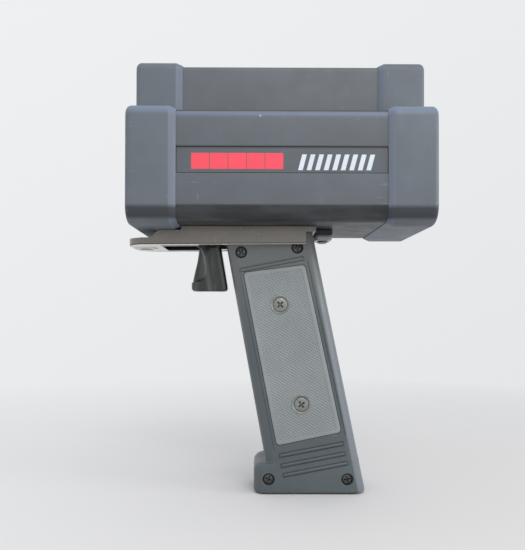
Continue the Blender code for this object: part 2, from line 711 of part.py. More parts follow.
def make_coil(name, axis, centre, radius, wire, span, turns):
    """Round wire wound round axis through centre, over span along it."""
    points_per_turn = 10
    count = int(points_per_turn * turns) + 1
    low, high = span
    curve = bpy.data.curves.new(name, "CURVE")
    curve.dimensions = "3D"
    curve.bevel_depth = wire * MM
    curve.bevel_resolution = 0
    curve.use_fill_caps = True
    spline = curve.splines.new("POLY")
    spline.points.add(count - 1)
    for index, point in enumerate(spline.points):
        angle = math.tau * index / points_per_turn
        along = low + (high - low) * index / (count - 1)
        u, v = radius * math.cos(angle), radius * math.sin(angle)
        place = Vector(across(axis, u, v, along)) * MM
        point.co = (*place, 1.0)
    made = bpy.data.objects.new(name, curve)
    base = Vector(centre) * MM
    base["XYZ".index(axis)] = 0.0
    made.location = base
    curve.materials.append(material("steel"))
    bpy.context.scene.collection.objects.link(made)


def make_switch():
    """Small snap switch in the grip's head, pressed upwards by the trigger's arm."""
    low, high = (SWITCH_X - 4.2, -5.0, 170.4), (SWITCH_X + 4.8, 5.0, 174.2)
    switch = piece("trigger_switch", block(low, high), "black_plastic")
    cut(switch, prism(circle(SWITCH_X, 0, 1.5, 12), "Z", 169.0, 173.8))
    plunger = turned([(0, 168.5), (1.2, 168.5), (1.2, 172.0), (0, 172.0)], "Z", (SWITCH_X, 0.0), 12)
    piece("switch_plunger", plunger, "steel", (SWITCH_X, 0.0, 168.5))


# ---------------------------------------------------------------- latch


def slot_outline(half_x, half_y):
    return rectangle(LATCH_X - half_x, LATCH_X + half_x, -half_y, half_y, min(half_x, half_y) * 0.98)


def make_latch():
    under = BOTTOM_Z - GAP
    half_x, half_y = COLLAR_HALF
    collar = rectangle(LATCH_X - half_x, LATCH_X + half_x, -half_y, half_y, 3.0)
    collar = piece("latch_collar", prism(collar, "Z", COLLAR_Z, under), "black_plastic")
    cut(collar, prism(slot_outline(3.7, 7.0), "Z", COLLAR_Z - 1, under + 1))
    stations = ((LATCH_FOOT_Z, 0.6), (LATCH_FOOT_Z + 0.6, 0.0), (174.8, 0.0))
    rings = []
    for z, inset in stations:
        rings.append([(x, y, z) for x, y in slot_outline(3.3 - inset, 6.6 - inset)])
    piece("release_button", loft(rings), "dark_steel", (LATCH_X, 0.0, LATCH_FOOT_Z))
    make_coil("latch_spring", "Z", (LATCH_X, 0.0, 0.0), 2.2, 0.35, (175.6, 177.7), 2.5)


# ---------------------------------------------------------------- assembly


def main():
    for old in list(bpy.data.objects):
        bpy.data.objects.remove(old)
    make_housing()
    make_bezels()
    make_optics()
    make_modules()
    make_sight_windows()
    make_rear_panel()
    make_bracket()
    make_grip()
    make_trigger()
    make_switch()
    make_latch()


main()
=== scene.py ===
"""Looks of a hand-held speed radar gun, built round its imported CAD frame.

Run as a script. Lengths inside the builders are in millimetres and meshes are made in metres.
+Z is up, the muzzle points to -X, and the gun's left side faces -Y.
"""

import math

import bmesh
import bpy
from bpy.props import FloatProperty, FloatVectorProperty, IntProperty, PointerProperty
from mathutils import Matrix, Vector


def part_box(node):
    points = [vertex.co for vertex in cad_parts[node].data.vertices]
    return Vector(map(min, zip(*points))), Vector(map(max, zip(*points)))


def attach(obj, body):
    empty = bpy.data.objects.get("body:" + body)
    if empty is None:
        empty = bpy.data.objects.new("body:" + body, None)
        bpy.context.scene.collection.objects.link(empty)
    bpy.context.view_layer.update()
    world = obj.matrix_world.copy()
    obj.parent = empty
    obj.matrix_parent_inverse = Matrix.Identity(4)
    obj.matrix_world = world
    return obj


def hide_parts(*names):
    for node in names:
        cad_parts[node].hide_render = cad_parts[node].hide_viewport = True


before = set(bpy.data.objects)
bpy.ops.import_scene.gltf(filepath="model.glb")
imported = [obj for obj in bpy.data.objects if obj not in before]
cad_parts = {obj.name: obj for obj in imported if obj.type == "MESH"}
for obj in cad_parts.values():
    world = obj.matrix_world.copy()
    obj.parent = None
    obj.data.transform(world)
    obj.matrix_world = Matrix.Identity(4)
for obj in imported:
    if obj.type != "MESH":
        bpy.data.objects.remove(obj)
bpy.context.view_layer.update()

bl_info = {
    "name": "Speed Radar Gun Looks",
    "version": (1, 0, 0),
    "blender": (4, 5, 0),
    "location": "View3D > Sidebar > Speed Gun",
    "description": "Builds the visible pieces and finishes of a hand-held speed radar gun",
    "category": "Object",
}

MM = 0.001
GAP = 0.3  # play round a part in its seat
GROOVE_Z = (208.0, 224.5)  # label groove along each side of the housing
SHOULDER_Z = 248.4  # top of the housing's wide part
CHANNEL_HALF = 17.0  # half the width of the sight channel
NECK_ROUND = 1.5  # radius of the inner corner beside the channel
# (centre, radius) of the spots where the housing's finish is knocked off
CHIPS = (((-33.6, -51.3, 243.6), 0.8), ((-37.3, -49.0, 182.9), 0.6), ((-30.4, -48.0, 181.9), 0.55))
FINE = 10  # straight steps in each rounded corner
ROUND = 64  # sides of turned pieces


def linear(colour):
    """sRGB hex to linear red, green, blue and alpha."""
    values = [int(colour[i : i + 2], 16) / 255 for i in (0, 2, 4)]
    values = [v / 12.92 if v <= 0.04045 else ((v + 0.055) / 1.055) ** 2.4 for v in values]
    return values + [1.0]


def span(node):
    """Low and high corner of a CAD node, in millimetres."""
    low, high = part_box(node)
    return Vector(low) / MM, Vector(high) / MM


def length(name, about, default):
    return FloatProperty(name=name, description=about, default=default * MM, unit="LENGTH", precision=5)


def tint(name, about, colour):
    return FloatVectorProperty(
        name=name, description=about, default=linear(colour), size=4, subtype="COLOR", min=0.0, max=1.0
    )


# ---------------------------------------------------------------- settings


class BodySettings(bpy.types.PropertyGroup):
    """Housing, bezels and side labels."""

    bottom_round: length("Bottom edge", "Radius of the long lower edges", 10.0)
    shoulder_round: length("Shoulder edge", "Radius of the long upper edges", 5.0)
    crown_round: length("Crown edge", "Radius of the sight channel's top edges", 3.5)
    bezel_proud: length("Bezel height", "How far the bezels stand out from the housing", 2.5)
    bezel_chamfer: length("Bezel chamfer", "Length of the slope down to the housing", 4.3)
    bezel_round: length("Bezel edge", "Radius of the bezels' outer edges", 3.5)
    housing_colour: tint("Housing", "Satin anodised charcoal", "5a5f65")
    bezel_colour: tint("Bezels", "Moulded charcoal", "5f666e")
    stripe_colour: tint("Red bar", "Printed red bar", "f24a5c")
    print_colour: tint("White print", "Printed white stripes", "d6dde5")


class GripSettings(bpy.types.PropertyGroup):
    """Grip shells, pads, foot and screws."""

    strap_run: length("Strap run", "How far each strap rounds along the gun", 6.0)
    strap_rise: length("Strap rise", "How far each strap rounds across the gun", 8.0)
    knurl_pitch: length("Knurl pitch", "Distance between the knurl's ridges", 1.6)
    knurl_height: length("Knurl height", "Height of the knurl's ridges", 0.45)
    border: length("Pad border", "Plain border round the knurl", 2.6)
    shell_colour: tint("Grip paint", "Blue-grey satin paint", "50585b")
    pad_colour: tint("Grip pads", "Light grey moulded pads", "8a8f90")


class MetalSettings(bpy.types.PropertyGroup):
    """Bracket, latch and trigger."""

    edge: length("Edge softness", "Width of the bracket's broken edges", 0.45)
    scoop: length("Trigger scoop", "Depth of the finger scoop in each side of the trigger", 4.6)
    bracket_colour: tint("Bracket", "Brownish-grey metal", "7d7873")
    trigger_colour: tint("Trigger", "Gloss black plastic", "1d1d1d")


class StageSettings(bpy.types.PropertyGroup):
    """Floor, light and camera."""

    lens: FloatProperty(name="Lens", description="Focal length", default=41.2, min=1.0)
    floor_radius: FloatProperty(name="Floor", description="Radius of the floor", default=0.75, unit="LENGTH")
    sky: tint("Room", "Pale room all round", "eceef0")
    key: FloatProperty(name="Key light", description="Power of the soft overhead light in watts", default=5.0)
    seed: IntProperty(name="Seed", description="Seed of the screws' turning", default=4)


# ---------------------------------------------------------------- shapes


def rounded(corners, steps=FINE):
    """Closed outline through corners (u, v, radius), each corner turned into an arc."""
    points = []
    for index, (u, v, radius) in enumerate(corners):
        here = Vector((u, v))
        back = (Vector(corners[index - 1][:2]) - here).normalized()
        ahead = (Vector(corners[(index + 1) % len(corners)][:2]) - here).normalized()
        if radius <= 0:
            points.append((u, v))
            continue
        half = back.angle(ahead) / 2
        centre = here + (back + ahead).normalized() * (radius / math.sin(half))
        start = here + back * (radius / math.tan(half)) - centre
        end = here + ahead * (radius / math.tan(half)) - centre
        first = math.atan2(start.y, start.x)
        turn = (math.atan2(end.y, end.x) - first + math.pi) % math.tau - math.pi
        for step in range(steps + 1):
            angle = first + turn * step / steps
            points.append((centre.x + radius * math.cos(angle), centre.y + radius * math.sin(angle)))
    return points


def rectangle(u0, u1, v0, v1, radius, steps=FINE):
    return rounded([(u0, v0, radius), (u1, v0, radius), (u1, v1, radius), (u0, v1, radius)], steps)


def circle(u, v, radius, steps=ROUND):
    angles = [math.tau * step / steps for step in range(steps)]
    return [(u + radius * math.cos(a), v + radius * math.sin(a)) for a in angles]


def across(axis, u, v, w):
    return {"X": (w, u, v), "Y": (u, w, v), "Z": (u, v, w)}[axis]


def loft(rings):
    """Closed body through rings of equally many points, with flat ends."""
    bm = bmesh.new()
    loops = [[bm.verts.new(point) for point in ring] for ring in rings]
    for low, high in zip(loops, loops[1:]):
        for i in range(len(low)):
            j = (i + 1) % len(low)
            bm.faces.new((low[i], low[j], high[j], high[i]))
    bm.faces.new(loops[0])
    bm.faces.new(loops[-1])
    return bm


def prism(outline, axis, low, high):
    return loft([[across(axis, u, v, w) for u, v in outline] for w in (low, high)])


def box(low, high, radius=0.0, axis="Z"):
    u, v, w = {"X": (1, 2, 0), "Y": (0, 2, 1), "Z": (0, 1, 2)}[axis]
    return prism(rectangle(low[u], high[u], low[v], high[v], radius, 6), axis, low[w], high[w])


def turned(profile, axis, centre, steps=ROUND):
    """Solid of revolution through (radius, height) points. It is a ring if no point is on the axis."""
    bm = bmesh.new()
    rings = []
    for radius, height in profile:
        ring = [centre] if radius == 0 else circle(centre[0], centre[1], radius, steps)
        rings.append([bm.verts.new(across(axis, u, v, height)) for u, v in ring])
    pairs = list(zip(rings, rings[1:]))
    if profile[0][0] > 0:
        pairs.append((rings[-1], rings[0]))
    for low, high in pairs:
        for i in range(steps):
            j = (i + 1) % steps
            loop = [low[i % len(low)], low[j % len(low)], high[j % len(high)], high[i % len(high)]]
            bm.faces.new(list(dict.fromkeys(loop)))
    return bm


def plain_object(name, bm):
    """Object in metres from a mesh in millimetres."""
    bmesh.ops.scale(bm, verts=bm.verts, vec=(MM, MM, MM))
    bmesh.ops.recalc_face_normals(bm, faces=bm.faces)
    mesh = bpy.data.meshes.new(name)
    bm.to_mesh(mesh)
    bm.free()
    made = bpy.data.objects.new(name, mesh)
    bpy.context.scene.collection.objects.link(made)
    return made


def evaluated_mesh(made):
    bpy.context.view_layer.update()
    graph = bpy.context.evaluated_depsgraph_get()
    return bpy.data.meshes.new_from_object(made.evaluated_get(graph))


def carve(bm, *cutters, operation="DIFFERENCE"):
    """The shape with each cutter taken away from it, or joined to it, by an exact Boolean."""
    work = plain_object("work", bm)
    tools = [plain_object("tool", cutter) for cutter in cutters]
    for tool in tools:
        modifier = work.modifiers.new("carve", "BOOLEAN")
        modifier.operation = operation
        modifier.solver = "EXACT"
        modifier.object = tool
    mesh = evaluated_mesh(work)
    for old in [work, *tools]:
        bpy.data.objects.remove(old)
    result = bmesh.new()
    result.from_mesh(mesh)
    bmesh.ops.scale(result, verts=result.verts, vec=(1 / MM,) * 3)
    bmesh.ops.remove_doubles(result, verts=result.verts, dist=0.001)
    return result


def piece(name, bm, look, slot, replaced=(), body="gun", bevel=0.0, sharp=32.0):
    """A finished piece that rides on a body. bevel is the width of its broken edges in millimetres."""
    made = plain_object(name, bm)
    return dress(made, look, slot, replaced, body, bevel, sharp)


def dress(made, look, slot, replaced=(), body="gun", bevel=0.0, sharp=32.0):
    made.data.shade_smooth()
    made.data.set_sharp_from_angle(angle=math.radians(sharp))
    made.data.materials.clear()
    made.data.materials.append(look)
    if bevel:
        modifier = made.modifiers.new("broken_edges", "BEVEL")
        modifier.width = bevel * MM
        modifier.segments = 3
        modifier.limit_method = "ANGLE"
        modifier.angle_limit = math.radians(40)
        modifier.harden_normals = True
        modifier.use_clamp_overlap = True
    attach(made, body)
    if replaced:
        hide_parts(*replaced)
    return made


# ---------------------------------------------------------------- repeated pieces


def copies_tree():
    """Geometry nodes: a template on each point, turned alike and spun at random, then made one mesh."""
    name = "Copies on points"
    if name in bpy.data.node_groups:
        return bpy.data.node_groups[name]
    tree = bpy.data.node_groups.new(name, "GeometryNodeTree")
    sockets = (
        ("Geometry", "NodeSocketGeometry"),
        ("Template", "NodeSocketObject"),
        ("Turn", "NodeSocketVector"),
        ("Spin", "NodeSocketFloat"),
        ("Seed", "NodeSocketInt"),
        ("Material", "NodeSocketMaterial"),
    )
    for label, kind in sockets:
        tree.interface.new_socket(name=label, in_out="INPUT", socket_type=kind)
    tree.interface.new_socket(name="Geometry", in_out="OUTPUT", socket_type="NodeSocketGeometry")
    given = add(tree, "NodeGroupInput").outputs
    template = add(tree, "GeometryNodeObjectInfo", {"Object": given["Template"]})
    turn = add(tree, "FunctionNodeEulerToRotation", {"Euler": given["Turn"]})
    stretch = add(tree, "GeometryNodeInputNamedAttribute", {"Name": "stretch"}, data_type="FLOAT_VECTOR")
    inputs = {"Points": given["Geometry"], "Instance": template.outputs["Geometry"]}
    inputs.update({"Rotation": turn.outputs[0], "Scale": stretch.outputs["Attribute"]})
    points = add(tree, "GeometryNodeInstanceOnPoints", inputs)
    amount = add(tree, "FunctionNodeRandomValue", {3: given["Spin"], "Seed": given["Seed"]},
                 data_type="FLOAT")
    spin = add(tree, "ShaderNodeCombineXYZ", {"Z": amount.outputs[1]})
    spun = add(
        tree,
        "GeometryNodeRotateInstances",
        {"Instances": points.outputs[0], "Rotation": spin.outputs[0], "Local Space": True},
    )
    real = add(tree, "GeometryNodeRealizeInstances", {"Geometry": spun.outputs[0]})
    finish = add(tree, "GeometryNodeSetMaterial",
                 {"Geometry": real.outputs[0], "Material": given["Material"]})
    add(tree, "NodeGroupOutput", {"Geometry": finish.outputs[0]})
    return tree


def copies(name, template, points, look, slot, turn=(0, 0, 0), spin=0.0, seed=1, stretch=None, **more):
    """One plain mesh of the template's copies on points in millimetres, each drawn out by its own stretch."""
    pattern = plain_object(name + "_template", template)
    mesh = bpy.data.meshes.new(name)
    mesh.from_pydata([Vector(point) * MM for point in points], [], [])
    scales = mesh.attributes.new("stretch", "FLOAT_VECTOR", "POINT")
    for item, scale in zip(scales.data, stretch or [(1, 1, 1)] * len(points)):
        item.vector = scale
    work = bpy.data.objects.new(name + "_points", mesh)
    bpy.context.scene.collection.objects.link(work)
    modifier = work.modifiers.new("copies", "NODES")
    modifier.node_group = copies_tree()
    values = {"Template": pattern, "Turn": turn, "Spin": spin, "Seed": seed, "Material": look}
    for item in modifier.node_group.interface.items_tree:
        if item.in_out == "INPUT" and item.name in values:
            modifier[item.identifier] = values[item.name]
    result = evaluated_mesh(work)
    bpy.data.objects.remove(work)
    bpy.data.objects.remove(pattern)
    result.name = name
    made = bpy.data.objects.new(name, result)
    bpy.context.scene.collection.objects.link(made)
    return dress(made, look, slot, **more)


def cross_head(radius, height, shank, reach, arm_share=0.58):
    """Cross-recessed screw head on the XY plane, pointing to +Z, with its shank below."""
    dome = [(radius * math.cos(a), height * (0.35 + 0.65 * math.sin(a))) for a in arc_angles(90, 8)]
    profile = [(0, -reach), (shank, -reach), (shank, 0), (radius * 0.97, 0), (radius, height * 0.12)]
    profile += dome[:-1] + [(0, height)]
    head = turned(profile, "Z", (0, 0), 40)
    arm, wing = radius * arm_share, radius * 0.13
    cutters = []
    for long, short in ((arm, wing), (wing, arm)):
        rings = []
        for z, grow in ((height - radius * 0.55, 0.55), (height + 0.5, 1.1)):
            outline = rectangle(-long * grow, long * grow, -short * grow, short * grow, 0, 1)
            rings.append([(x, y, z) for x, y in outline])
        cutters.append(loft(rings))
    return carve(head, *cutters)


def arc_angles(degrees, steps):
    return [math.radians(degrees) * step / steps for step in range(steps + 1)]


# ---------------------------------------------------------------- materials


def add(tree, kind, inputs=None, **settings):
    """A node with its settings. inputs are values, or the sockets to link from."""
    made = tree.nodes.new(kind)
    for key, value in settings.items():
        setattr(made, key, value)
    for key, value in (inputs or {}).items():
        if isinstance(value, bpy.types.NodeSocket):
            tree.links.new(value, made.inputs[key])
        else:
            made.inputs[key].default_value = value
    return made


def start(name):
    """A new material, its tree, its shader and its object coordinates."""
    made = bpy.data.materials.new(name)
    made.use_nodes = True
    tree = made.node_tree
    shader = tree.nodes["Principled BSDF"]
    return made, tree, shader, add(tree, "ShaderNodeTexCoord").outputs["Object"]


def cloud(tree, where, size, detail=3.0, rough=0.55, stretch=(1, 1, 1), shift=0.0):
    """Soft noise from 0 to 1 with features of size millimetres, drawn out along an axis by stretch."""
    scale = [1 / s for s in stretch]
    mapped = add(tree, "ShaderNodeMapping", {"Vector": where, "Scale": scale, "Location": (shift,) * 3})
    noise = {"Vector": mapped.outputs[0], "Scale": 1000 / size, "Detail": detail, "Roughness": rough}
    return add(tree, "ShaderNodeTexNoise", noise).outputs["Fac"]


def level(tree, value, low, high, to_low=0.0, to_high=1.0):
    """value moved from low..high to to_low..to_high, and held there."""
    inputs = {"Value": value, "From Min": low, "From Max": high, "To Min": to_low, "To Max": to_high}
    return add(tree, "ShaderNodeMapRange", inputs).outputs[0]


def blend_colour(tree, factor, first, second):
    return add(tree, "ShaderNodeMix", {0: factor, 6: first, 7: second}, data_type="RGBA").outputs[2]


def maths(tree, operation, first, second):
    return add(tree, "ShaderNodeMath", {0: first, 1: second}, operation=operation).outputs[0]


def relief(tree, shader, height, depth):
    """Bump of depth millimetres on the shader."""
    bump = add(tree, "ShaderNodeBump", {"Height": height, "Distance": depth * MM, "Strength": 1.0})
    tree.links.new(bump.outputs[0], shader.inputs["Normal"])


def shade(colour, factor):
    return [c * factor for c in colour[:3]] + [1.0]


def link(tree, socket, shader, name):
    tree.links.new(socket, shader.inputs[name])


def worn_surface(name, colour, roughness, grain=0.5, grain_depth=0.02, scuff=0.5, metallic=0.0, lift=2.0):
    """A hard surface worn by handling: mottled colour, fine grain, and light scuffs in two directions."""
    made, tree, shader, where = start(name)
    mottle = level(tree, cloud(tree, where, 38, 4.0), 0.35, 0.65)
    grime = level(tree, cloud(tree, where, 9, 4.0, shift=3.0), 0.4, 0.7)
    base = blend_colour(tree, mottle, shade(colour, 0.93), shade(colour, 1.06))
    base = blend_colour(tree, maths(tree, "MULTIPLY", grime, 0.25), base, shade(colour, 0.82))
    along = level(tree, cloud(tree, where, 1.4, 2.0, 0.6, (14, 1, 1), 1.0), 0.66, 0.72)
    down = level(tree, cloud(tree, where, 1.2, 2.0, 0.6, (1.5, 1, 11), 2.0), 0.68, 0.74)
    patch = level(tree, cloud(tree, where, 26, 2.0, shift=5.0), 0.5, 0.62)
    marks = maths(tree, "MULTIPLY", maths(tree, "MAXIMUM", along, down),
                  maths(tree, "MULTIPLY", patch, scuff))
    base = blend_colour(tree, marks, base, shade(colour, lift))
    link(tree, base, shader, "Base Color")
    fine = cloud(tree, where, grain, 2.0)
    gloss_and_painted_highlight = level(tree, cloud(tree, where, 14, 3.0, shift=7.0), 0.3, 0.7, roughness - 0.06, roughness + 0.07)
    link(tree, maths(tree, "SUBTRACT", gloss_and_painted_highlight, maths(tree, "MULTIPLY", marks, 0.12)), shader, "Roughness")
    shader.inputs["Metallic"].default_value = metallic
    relief(tree, shader, fine, grain_depth)
    return made, tree, shader, where


def darken(tree, shader, mask, colour):
    """Lays colour over the shader's base where mask is 1."""
    socket = shader.inputs["Base Color"].links[0].from_socket
    link(tree, blend_colour(tree, mask, socket, colour), shader, "Base Color")


def band(tree, value, *edges):
    """1 inside a band of value and 0 outside, with soft ends. edges are four places in millimetres."""
    a, b, c, d = (edge * MM for edge in edges)
    return maths(tree, "MULTIPLY", level(tree, value, a, b), level(tree, value, d, c))


def between(tree, where, axis, *edges):
    """A band along an axis: 0 is X, 1 is Y and 2 is Z."""
    return band(tree, add(tree, "ShaderNodeSeparateXYZ", {0: where}).outputs[axis], *edges)


def anodised_aluminium(colour):
    """Extruded aluminium, satin anodised charcoal: even and faintly streaked along the extrusion, with
    painted shade and a painted highlight.
    """
    made, tree, shader, where = worn_surface("anodised_aluminium_charcoal", colour, 0.44, 0.45, 0.012, 0.55)
    foot = span("main_housing")[0].z
    # painted shade and dark reflection: the lower rounded edge is made much darker in uneven patches
    painted_low_shade = between(tree, where, 2, foot - 5, foot - 1, foot + 9.3, foot + 10.6)
    patchy = level(tree, cloud(tree, where, 7, 4.0, 0.6, (4, 1, 1), 9.0), 0.3, 0.6, 0.7, 1.0)
    darken(tree, shader, maths(tree, "MULTIPLY", painted_low_shade, patchy), shade(colour, 0.14))
    # painted highlight: a bluish lighter band just below the shoulder's rounded edge
    gloss_and_painted_highlight = between(tree, where, 2, *(SHOULDER_Z + step for step in (-6.4, -3.0, -1.9, -1.5)))
    darken(tree, shader, gloss_and_painted_highlight, [colour[0] * 1.3, colour[1] * 1.42, colour[2] * 1.75, 1.0])
    # painted shadow: a dark line along the shoulder's edge
    ledge = between(tree, where, 2, *(SHOULDER_Z + step for step in (-1.8, -1.4, 1.2, 1.6)))
    darken(tree, shader, ledge, shade(colour, 0.25))
    # painted shadow under the label groove's upper lip
    lip = between(tree, where, 2, *(GROOVE_Z[1] + step for step in (-1.4, -0.4, 0.3, 1.1)))
    darken(tree, shader, maths(tree, "MULTIPLY", lip, 0.75), shade(colour, 0.3))
    for centre, radius in CHIPS:
        away = add(tree, "ShaderNodeVectorMath", {0: where, 1: Vector(centre) * MM}, operation="DISTANCE")
        rough = maths(tree, "MULTIPLY", cloud(tree, where, 1.2, 3.0), 0.8 * MM)
        ragged = maths(tree, "ADD", away.outputs["Value"], rough)
        chip = level(tree, ragged, (radius + 0.55) * MM, (radius + 0.25) * MM)
        darken(tree, shader, chip, linear("d8dcdf"))
    return made


def moulded_bezel(colour):
    """Moulded polycarbonate, satin, with chips worn lighter at its outer edges, painted highlights on its
    slopes and top edges, and painted shade along its lower edges.
    """
    made, tree, shader, where = worn_surface("moulded_polycarbonate_charcoal", colour, 0.48, 0.5, 0.02, 0.6)
    foot = span("main_housing")[0].z
    front, front_seam = (corner.x for corner in span("front_bezel"))
    back_seam, back = (corner.x for corner in span("rear_bezel"))
    # painted highlight: the slopes down to the housing are made lighter and bluer
    front_slope = between(tree, where, 0, front_seam - 4.6, front_seam - 4.3, front_seam, front_seam + 1)
    back_slope = between(tree, where, 0, back_seam - 1, back_seam, back_seam + 4.3, back_seam + 4.6)
    slope = maths(tree, "MAXIMUM", front_slope, back_slope)
    darken(tree, shader, slope, [colour[0] * 1.22, colour[1] * 1.22, colour[2] * 1.34, 1.0])
    # painted highlight: a bluish lighter band along the top edges, on the left (-Y) side only
    gloss_and_painted_highlight = between(tree, where, 2, *(SHOULDER_Z + step for step in (-4.5, -1.0, 1.6, 2.4)))
    gloss_and_painted_highlight = maths(tree, "MULTIPLY", gloss_and_painted_highlight, between(tree, where, 1, -58, -57, -47, -44))
    darken(tree, shader, gloss_and_painted_highlight, [colour[0] * 1.25, colour[1] * 1.4, colour[2] * 1.7, 1.0])
    # painted shade and dark reflection: the lower rounded edges are made much darker
    painted_low_shade = between(tree, where, 2, foot + 0.4, foot + 2.4, foot + 7.5, foot + 10.2)
    darken(tree, shader, maths(tree, "MULTIPLY", painted_low_shade, 0.92), shade(colour, 0.22))
    chips = level(tree, cloud(tree, where, 2.2, 4.0, 0.65, shift=11.0), 0.6, 0.7)
    near_front = between(tree, where, 0, front - 9, front - 8, front + 0.8, front + 2.6)
    near_back = between(tree, where, 0, back - 2.6, back - 0.8, back + 8, back + 9)
    edge = maths(tree, "MULTIPLY", chips, maths(tree, "MAXIMUM", near_front, near_back))
    darken(tree, shader, maths(tree, "MULTIPLY", edge, 0.6), shade(colour, 2.4))
    return made


def painted_casting(colour):
    """Blue-grey satin enamel on a casting, with a slight orange peel, and painted light on its rear strap and
    upper part.
    """
    made, tree, shader, where = worn_surface("satin_enamel_blue_grey", colour, 0.4, 1.3, 0.03, 0.5, lift=1.8)
    height = add(tree, "ShaderNodeSeparateXYZ", {0: where}).outputs["Z"]
    along = add(tree, "ShaderNodeSeparateXYZ", {0: where}).outputs["X"]
    # painted highlight: the rear strap is made much lighter
    back = maths(tree, "ADD", along, maths(tree, "MULTIPLY", height, REAR_LINE[2]))
    limit = REAR_LINE[0] + REAR_LINE[1] * REAR_LINE[2] - 6.0
    rear_strap_highlight = level(tree, back, limit * MM, (limit + 0.8) * MM)
    darken(tree, shader, rear_strap_highlight, [colour[0] * 1.85, colour[1] * 1.72, colour[2] * 1.8, 1.0])
    # painted light: the grip is made lighter and warmer towards its top, where the housing shades it
    upper_grip_painted_light = level(tree, height, 110 * MM, 158 * MM)
    darken(tree, shader, upper_grip_painted_light, [colour[0] * 1.6, colour[1] * 1.42, colour[2] * 1.32, 1.0])
    return made


def moulded_pad(colour):
    """Light grey moulded nylon, matt, darker low between the diamonds."""
    made, tree, shader, where = worn_surface("moulded_nylon_light_grey", colour, 0.55, 0.4, 0.015, 0.2,
                                             lift=1.3)
    across_gun = add(tree, "ShaderNodeSeparateXYZ", {0: where}).outputs["Y"]
    depth = maths(tree, "ABSOLUTE", across_gun, 0.0)
    face = span("grip_pad_left")[0].y * -MM
    groove = level(tree, depth, face - 0.45 * MM, face - 0.12 * MM, 0.7, 0.0)
    darken(tree, shader, groove, shade(colour, 0.55))
    return made


def bracket_metal(colour):
    """Steel sheet under a thin brownish conversion coat, brushed along its length."""
    made, tree, shader, where = worn_surface("coated_steel_brown_grey", colour, 0.3, 0.5, 0.01, 0.35, 0.35)
    # painted shade: the inside of the trigger slot is made near black further down
    inside = between(tree, where, 0, RAMP_END + 0.4, RAMP_END + 0.6, RAIL_BACK - 0.9, RAIL_BACK - 0.5)
    slot = maths(tree, "MULTIPLY", inside, between(tree, where, 1, -22.0, -21.9, 21.9, 22.0))
    part = add(tree, "ShaderNodeSeparateXYZ", {0: where}).outputs
    height = maths(tree, "SUBTRACT", part["Z"], maths(tree, "MULTIPLY", part["X"], RAIL_SLOPE))
    base = span("handle_bracket")[0].z + TAB_RING - TAB_BASE * RAIL_SLOPE
    # painted shade: a dark line along the rails' lower edges
    edge = level(tree, height, (base + 1.0) * MM, (base + 0.45) * MM)
    darken(tree, shader, edge, shade(colour, 0.18))
    # painted reflection: the undersides below that line are made pale
    darken(tree, shader, level(tree, height, (base + 0.2) * MM, (base + 0.1) * MM), linear("d9d6d0"))
    darken(tree, shader, slot, shade(colour, 0.03))
    brushed = cloud(tree, where, 0.5, 2.0, 0.5, (30, 1, 1), 4.0)
    relief(tree, shader, brushed, 0.01)
    return made


def gloss_black(colour):
    """Injection-moulded acetal, gloss black, with painted highlight streaks down its sides."""
    made, tree, shader, where = worn_surface("moulded_acetal_gloss_black", colour, 0.16, 2.5, 0.02, 0.4,
                                             lift=4.0)
    shader.inputs["Coat Weight"].default_value = 0.4
    shader.inputs["Coat Roughness"].default_value = 0.1
    part = add(tree, "ShaderNodeSeparateXYZ", {0: where}).outputs
    back = maths(tree, "ADD", part["X"], maths(tree, "MULTIPLY", part["Z"], TRIGGER_LEAN))
    # painted highlight: lighter streaks down the trigger's sides
    edge = band(tree, back, *HIGHLIGHT_EDGE_BAND)
    ripple = level(tree, cloud(tree, where, 4.5, 2.0, 0.5, (1, 1, 9), 4.0), 0.5, 0.72)
    middle = band(tree, back, *HIGHLIGHT_MIDDLE_BAND)
    painted_streaks = maths(tree, "MAXIMUM", maths(tree, "MULTIPLY", edge, 0.9),
                   maths(tree, "MAXIMUM", middle, ripple))
    darken(tree, shader, maths(tree, "MULTIPLY", painted_streaks, 0.55), shade(colour, 9.0))
    return made


def simple_surface(name, colour, roughness, metallic=0.0, grain=0.6, depth=0.01):
    """Unworn surface of an inner or small piece: its colour breaks up a little and it has a fine grain."""
    made, tree, shader, where = start(name)
    tone = level(tree, cloud(tree, where, 6, 3.0), 0.35, 0.65)
    link(tree, blend_colour(tree, tone, shade(colour, 0.88), shade(colour, 1.1)), shader, "Base Color")
    rough = level(tree, cloud(tree, where, 3, 3.0, shift=2.0), 0.3, 0.7, roughness * 0.85, roughness * 1.15)
    link(tree, rough, shader, "Roughness")
    shader.inputs["Metallic"].default_value = metallic
    relief(tree, shader, cloud(tree, where, grain, 2.0), depth)
    return made


def coated_lens():
    """Optical glass with a violet-green coating, backed by the dark barrel."""
    made, tree, shader, where = start("coated_optical_glass")
    tone = level(tree, cloud(tree, where, 18, 1.0), 0.35, 0.65)
    link(tree, blend_colour(tree, tone, linear("1d1636"), linear("12302c")), shader, "Base Color")
    shader.inputs["Roughness"].default_value = 0.03
    shader.inputs["Transmission Weight"].default_value = 0.35
    shader.inputs["Coat Weight"].default_value = 1.0
    shader.inputs["Coat Roughness"].default_value = 0.02
    return made


def window_glass():
    """Hard-coated acrylic window, lightly dusty."""
    made, tree, shader, where = start("acrylic_window")
    dust = level(tree, cloud(tree, where, 12, 4.0), 0.4, 0.8, 0.04, 0.16)
    link(tree, dust, shader, "Roughness")
    shader.inputs["Base Color"].default_value = linear("6f8590")
    shader.inputs["Transmission Weight"].default_value = 0.8
    return made


